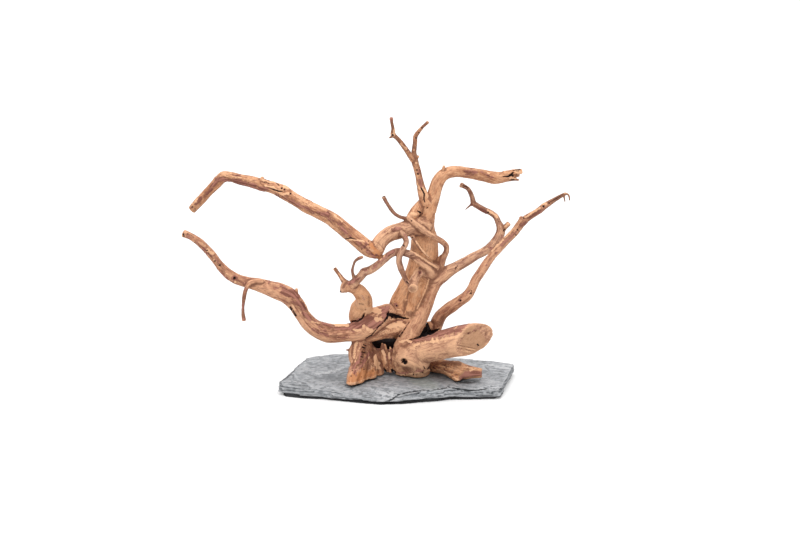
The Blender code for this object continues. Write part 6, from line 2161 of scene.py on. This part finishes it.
@dataclass(frozen=True)
class FloorFinish:
    """Plain white floor that glows a little, so that it fades into the background."""

    white: Triple = (0.55, 0.55, 0.55)
    roughness: float = 0.9
    glow: float = 0.22

    def make(self) -> bpy.types.Material:
        """The floor's material."""
        material, board, shader = new_material("plain_floor")
        for name, value in (
            ("Base Color", self.white), ("Roughness", self.roughness),
            ("Emission Color", (1.0, 1.0, 1.0)), ("Emission Strength", self.glow),
        ):
            board.feed(shader[name], value)
        return material


@dataclass
class Studio:
    """Floor, soft light and camera."""

    sheet: Sheet
    floor_half: float = 14.0
    look_height: float = 0.12506
    distance: float = 3.2
    frame_width: float = 0.8
    sensor: float = 36.0
    clip_end: float = 40.0
    horizon: float = 0.16
    overhead: float = 2.6
    overhead_range: tuple[float, float] = (0.2, 0.95)
    front: float = 1.15
    front_range: tuple[float, float] = (0.72, 0.95)
    front_towards: Triple = (-0.12, -0.84, 0.53)

    def build(self) -> None:
        """Make the floor, the light and the camera."""
        self.make_floor()
        self.make_light()
        self.make_camera()

    def make_floor(self) -> None:
        """A wide plain floor under the slate."""
        half = self.floor_half
        corners = [(-half, -half, 0.0), (half, -half, 0.0), (half, half, 0.0), (-half, half, 0.0)]
        floor = mesh_piece("floor", corners, [(0, 1, 2, 3)])
        floor.data.materials.append(FloorFinish().make())

    def make_light(self) -> None:
        """Soft light from all round, strongest overhead, as from one wide soft box."""
        world = bpy.data.worlds.new("soft_studio")
        bpy.context.scene.world = world
        world.use_nodes = True
        board = Board(world.node_tree)
        background = world.node_tree.nodes["Background"].inputs
        direction = board.add("ShaderNodeTexCoord").outputs["Generated"]
        height = board.add("ShaderNodeSeparateXYZ", {0: direction}).outputs[2]
        ahead = board.add(
            "ShaderNodeVectorMath", {0: direction, 1: self.front_towards}, operation="DOT_PRODUCT",
        ).outputs["Value"]
        above = board.spread(height, *self.overhead_range, self.overhead, self.horizon)
        strength = board.calc("ADD", above, board.spread(ahead, *self.front_range, self.front))
        board.feed(background["Color"], (1.0, 1.0, 1.0))
        board.feed(background["Strength"], strength)
        bpy.context.scene.view_settings.view_transform = "Standard"
        bpy.context.scene.view_settings.look = "None"

    def make_camera(self) -> None:
        """The camera at the front view's angle and distance."""
        sine, cosine = self.sheet.lean
        lens = bpy.data.cameras.new("front_view")
        lens.sensor_width = self.sensor
        lens.lens = self.sensor * self.distance / self.frame_width
        lens.clip_end = self.clip_end
        camera = bpy.data.objects.new("front_view", lens)
        camera.location = (
            self.sheet.middle_across * MM, -cosine * self.distance, self.look_height + sine * self.distance)
        camera.rotation_euler = (math.radians(90.0 - self.sheet.tilt_deg), 0.0, 0.0)
        bpy.context.scene.collection.objects.link(camera)
        bpy.context.scene.camera = camera


def dress(piece: bpy.types.Object, material: bpy.types.Material, node: str) -> None:
    """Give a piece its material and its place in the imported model.

    Args:
        piece: the piece.
        material: its material.
        node: the solid that it stands for.
    """
    piece.data.materials.clear()
    piece.data.materials.append(material)
    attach(piece, BODY)
    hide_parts(node)


def main() -> None:
    """Build the root, the slate and the studio."""
    logging.basicConfig(level=logging.INFO, format="%(name)s: %(message)s")
    began = time.monotonic()
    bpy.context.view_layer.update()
    sheet = Sheet()
    effects = Effects()
    root = SpiderwoodRoot(sheet).build()
    dress(root, WoodFinish().make(effects), "spiderwood_root")
    LOG.info("root_wood: %d faces after %.1f s", len(root.data.polygons), time.monotonic() - began)
    slate = SlateBase(sheet).build()
    dress(slate, SlateFinish().make(effects), "slate_base")
    LOG.info("slate_stone: %d faces after %.1f s", len(slate.data.polygons), time.monotonic() - began)
    Studio(sheet).build()


if __name__ == "__main__":
    main()
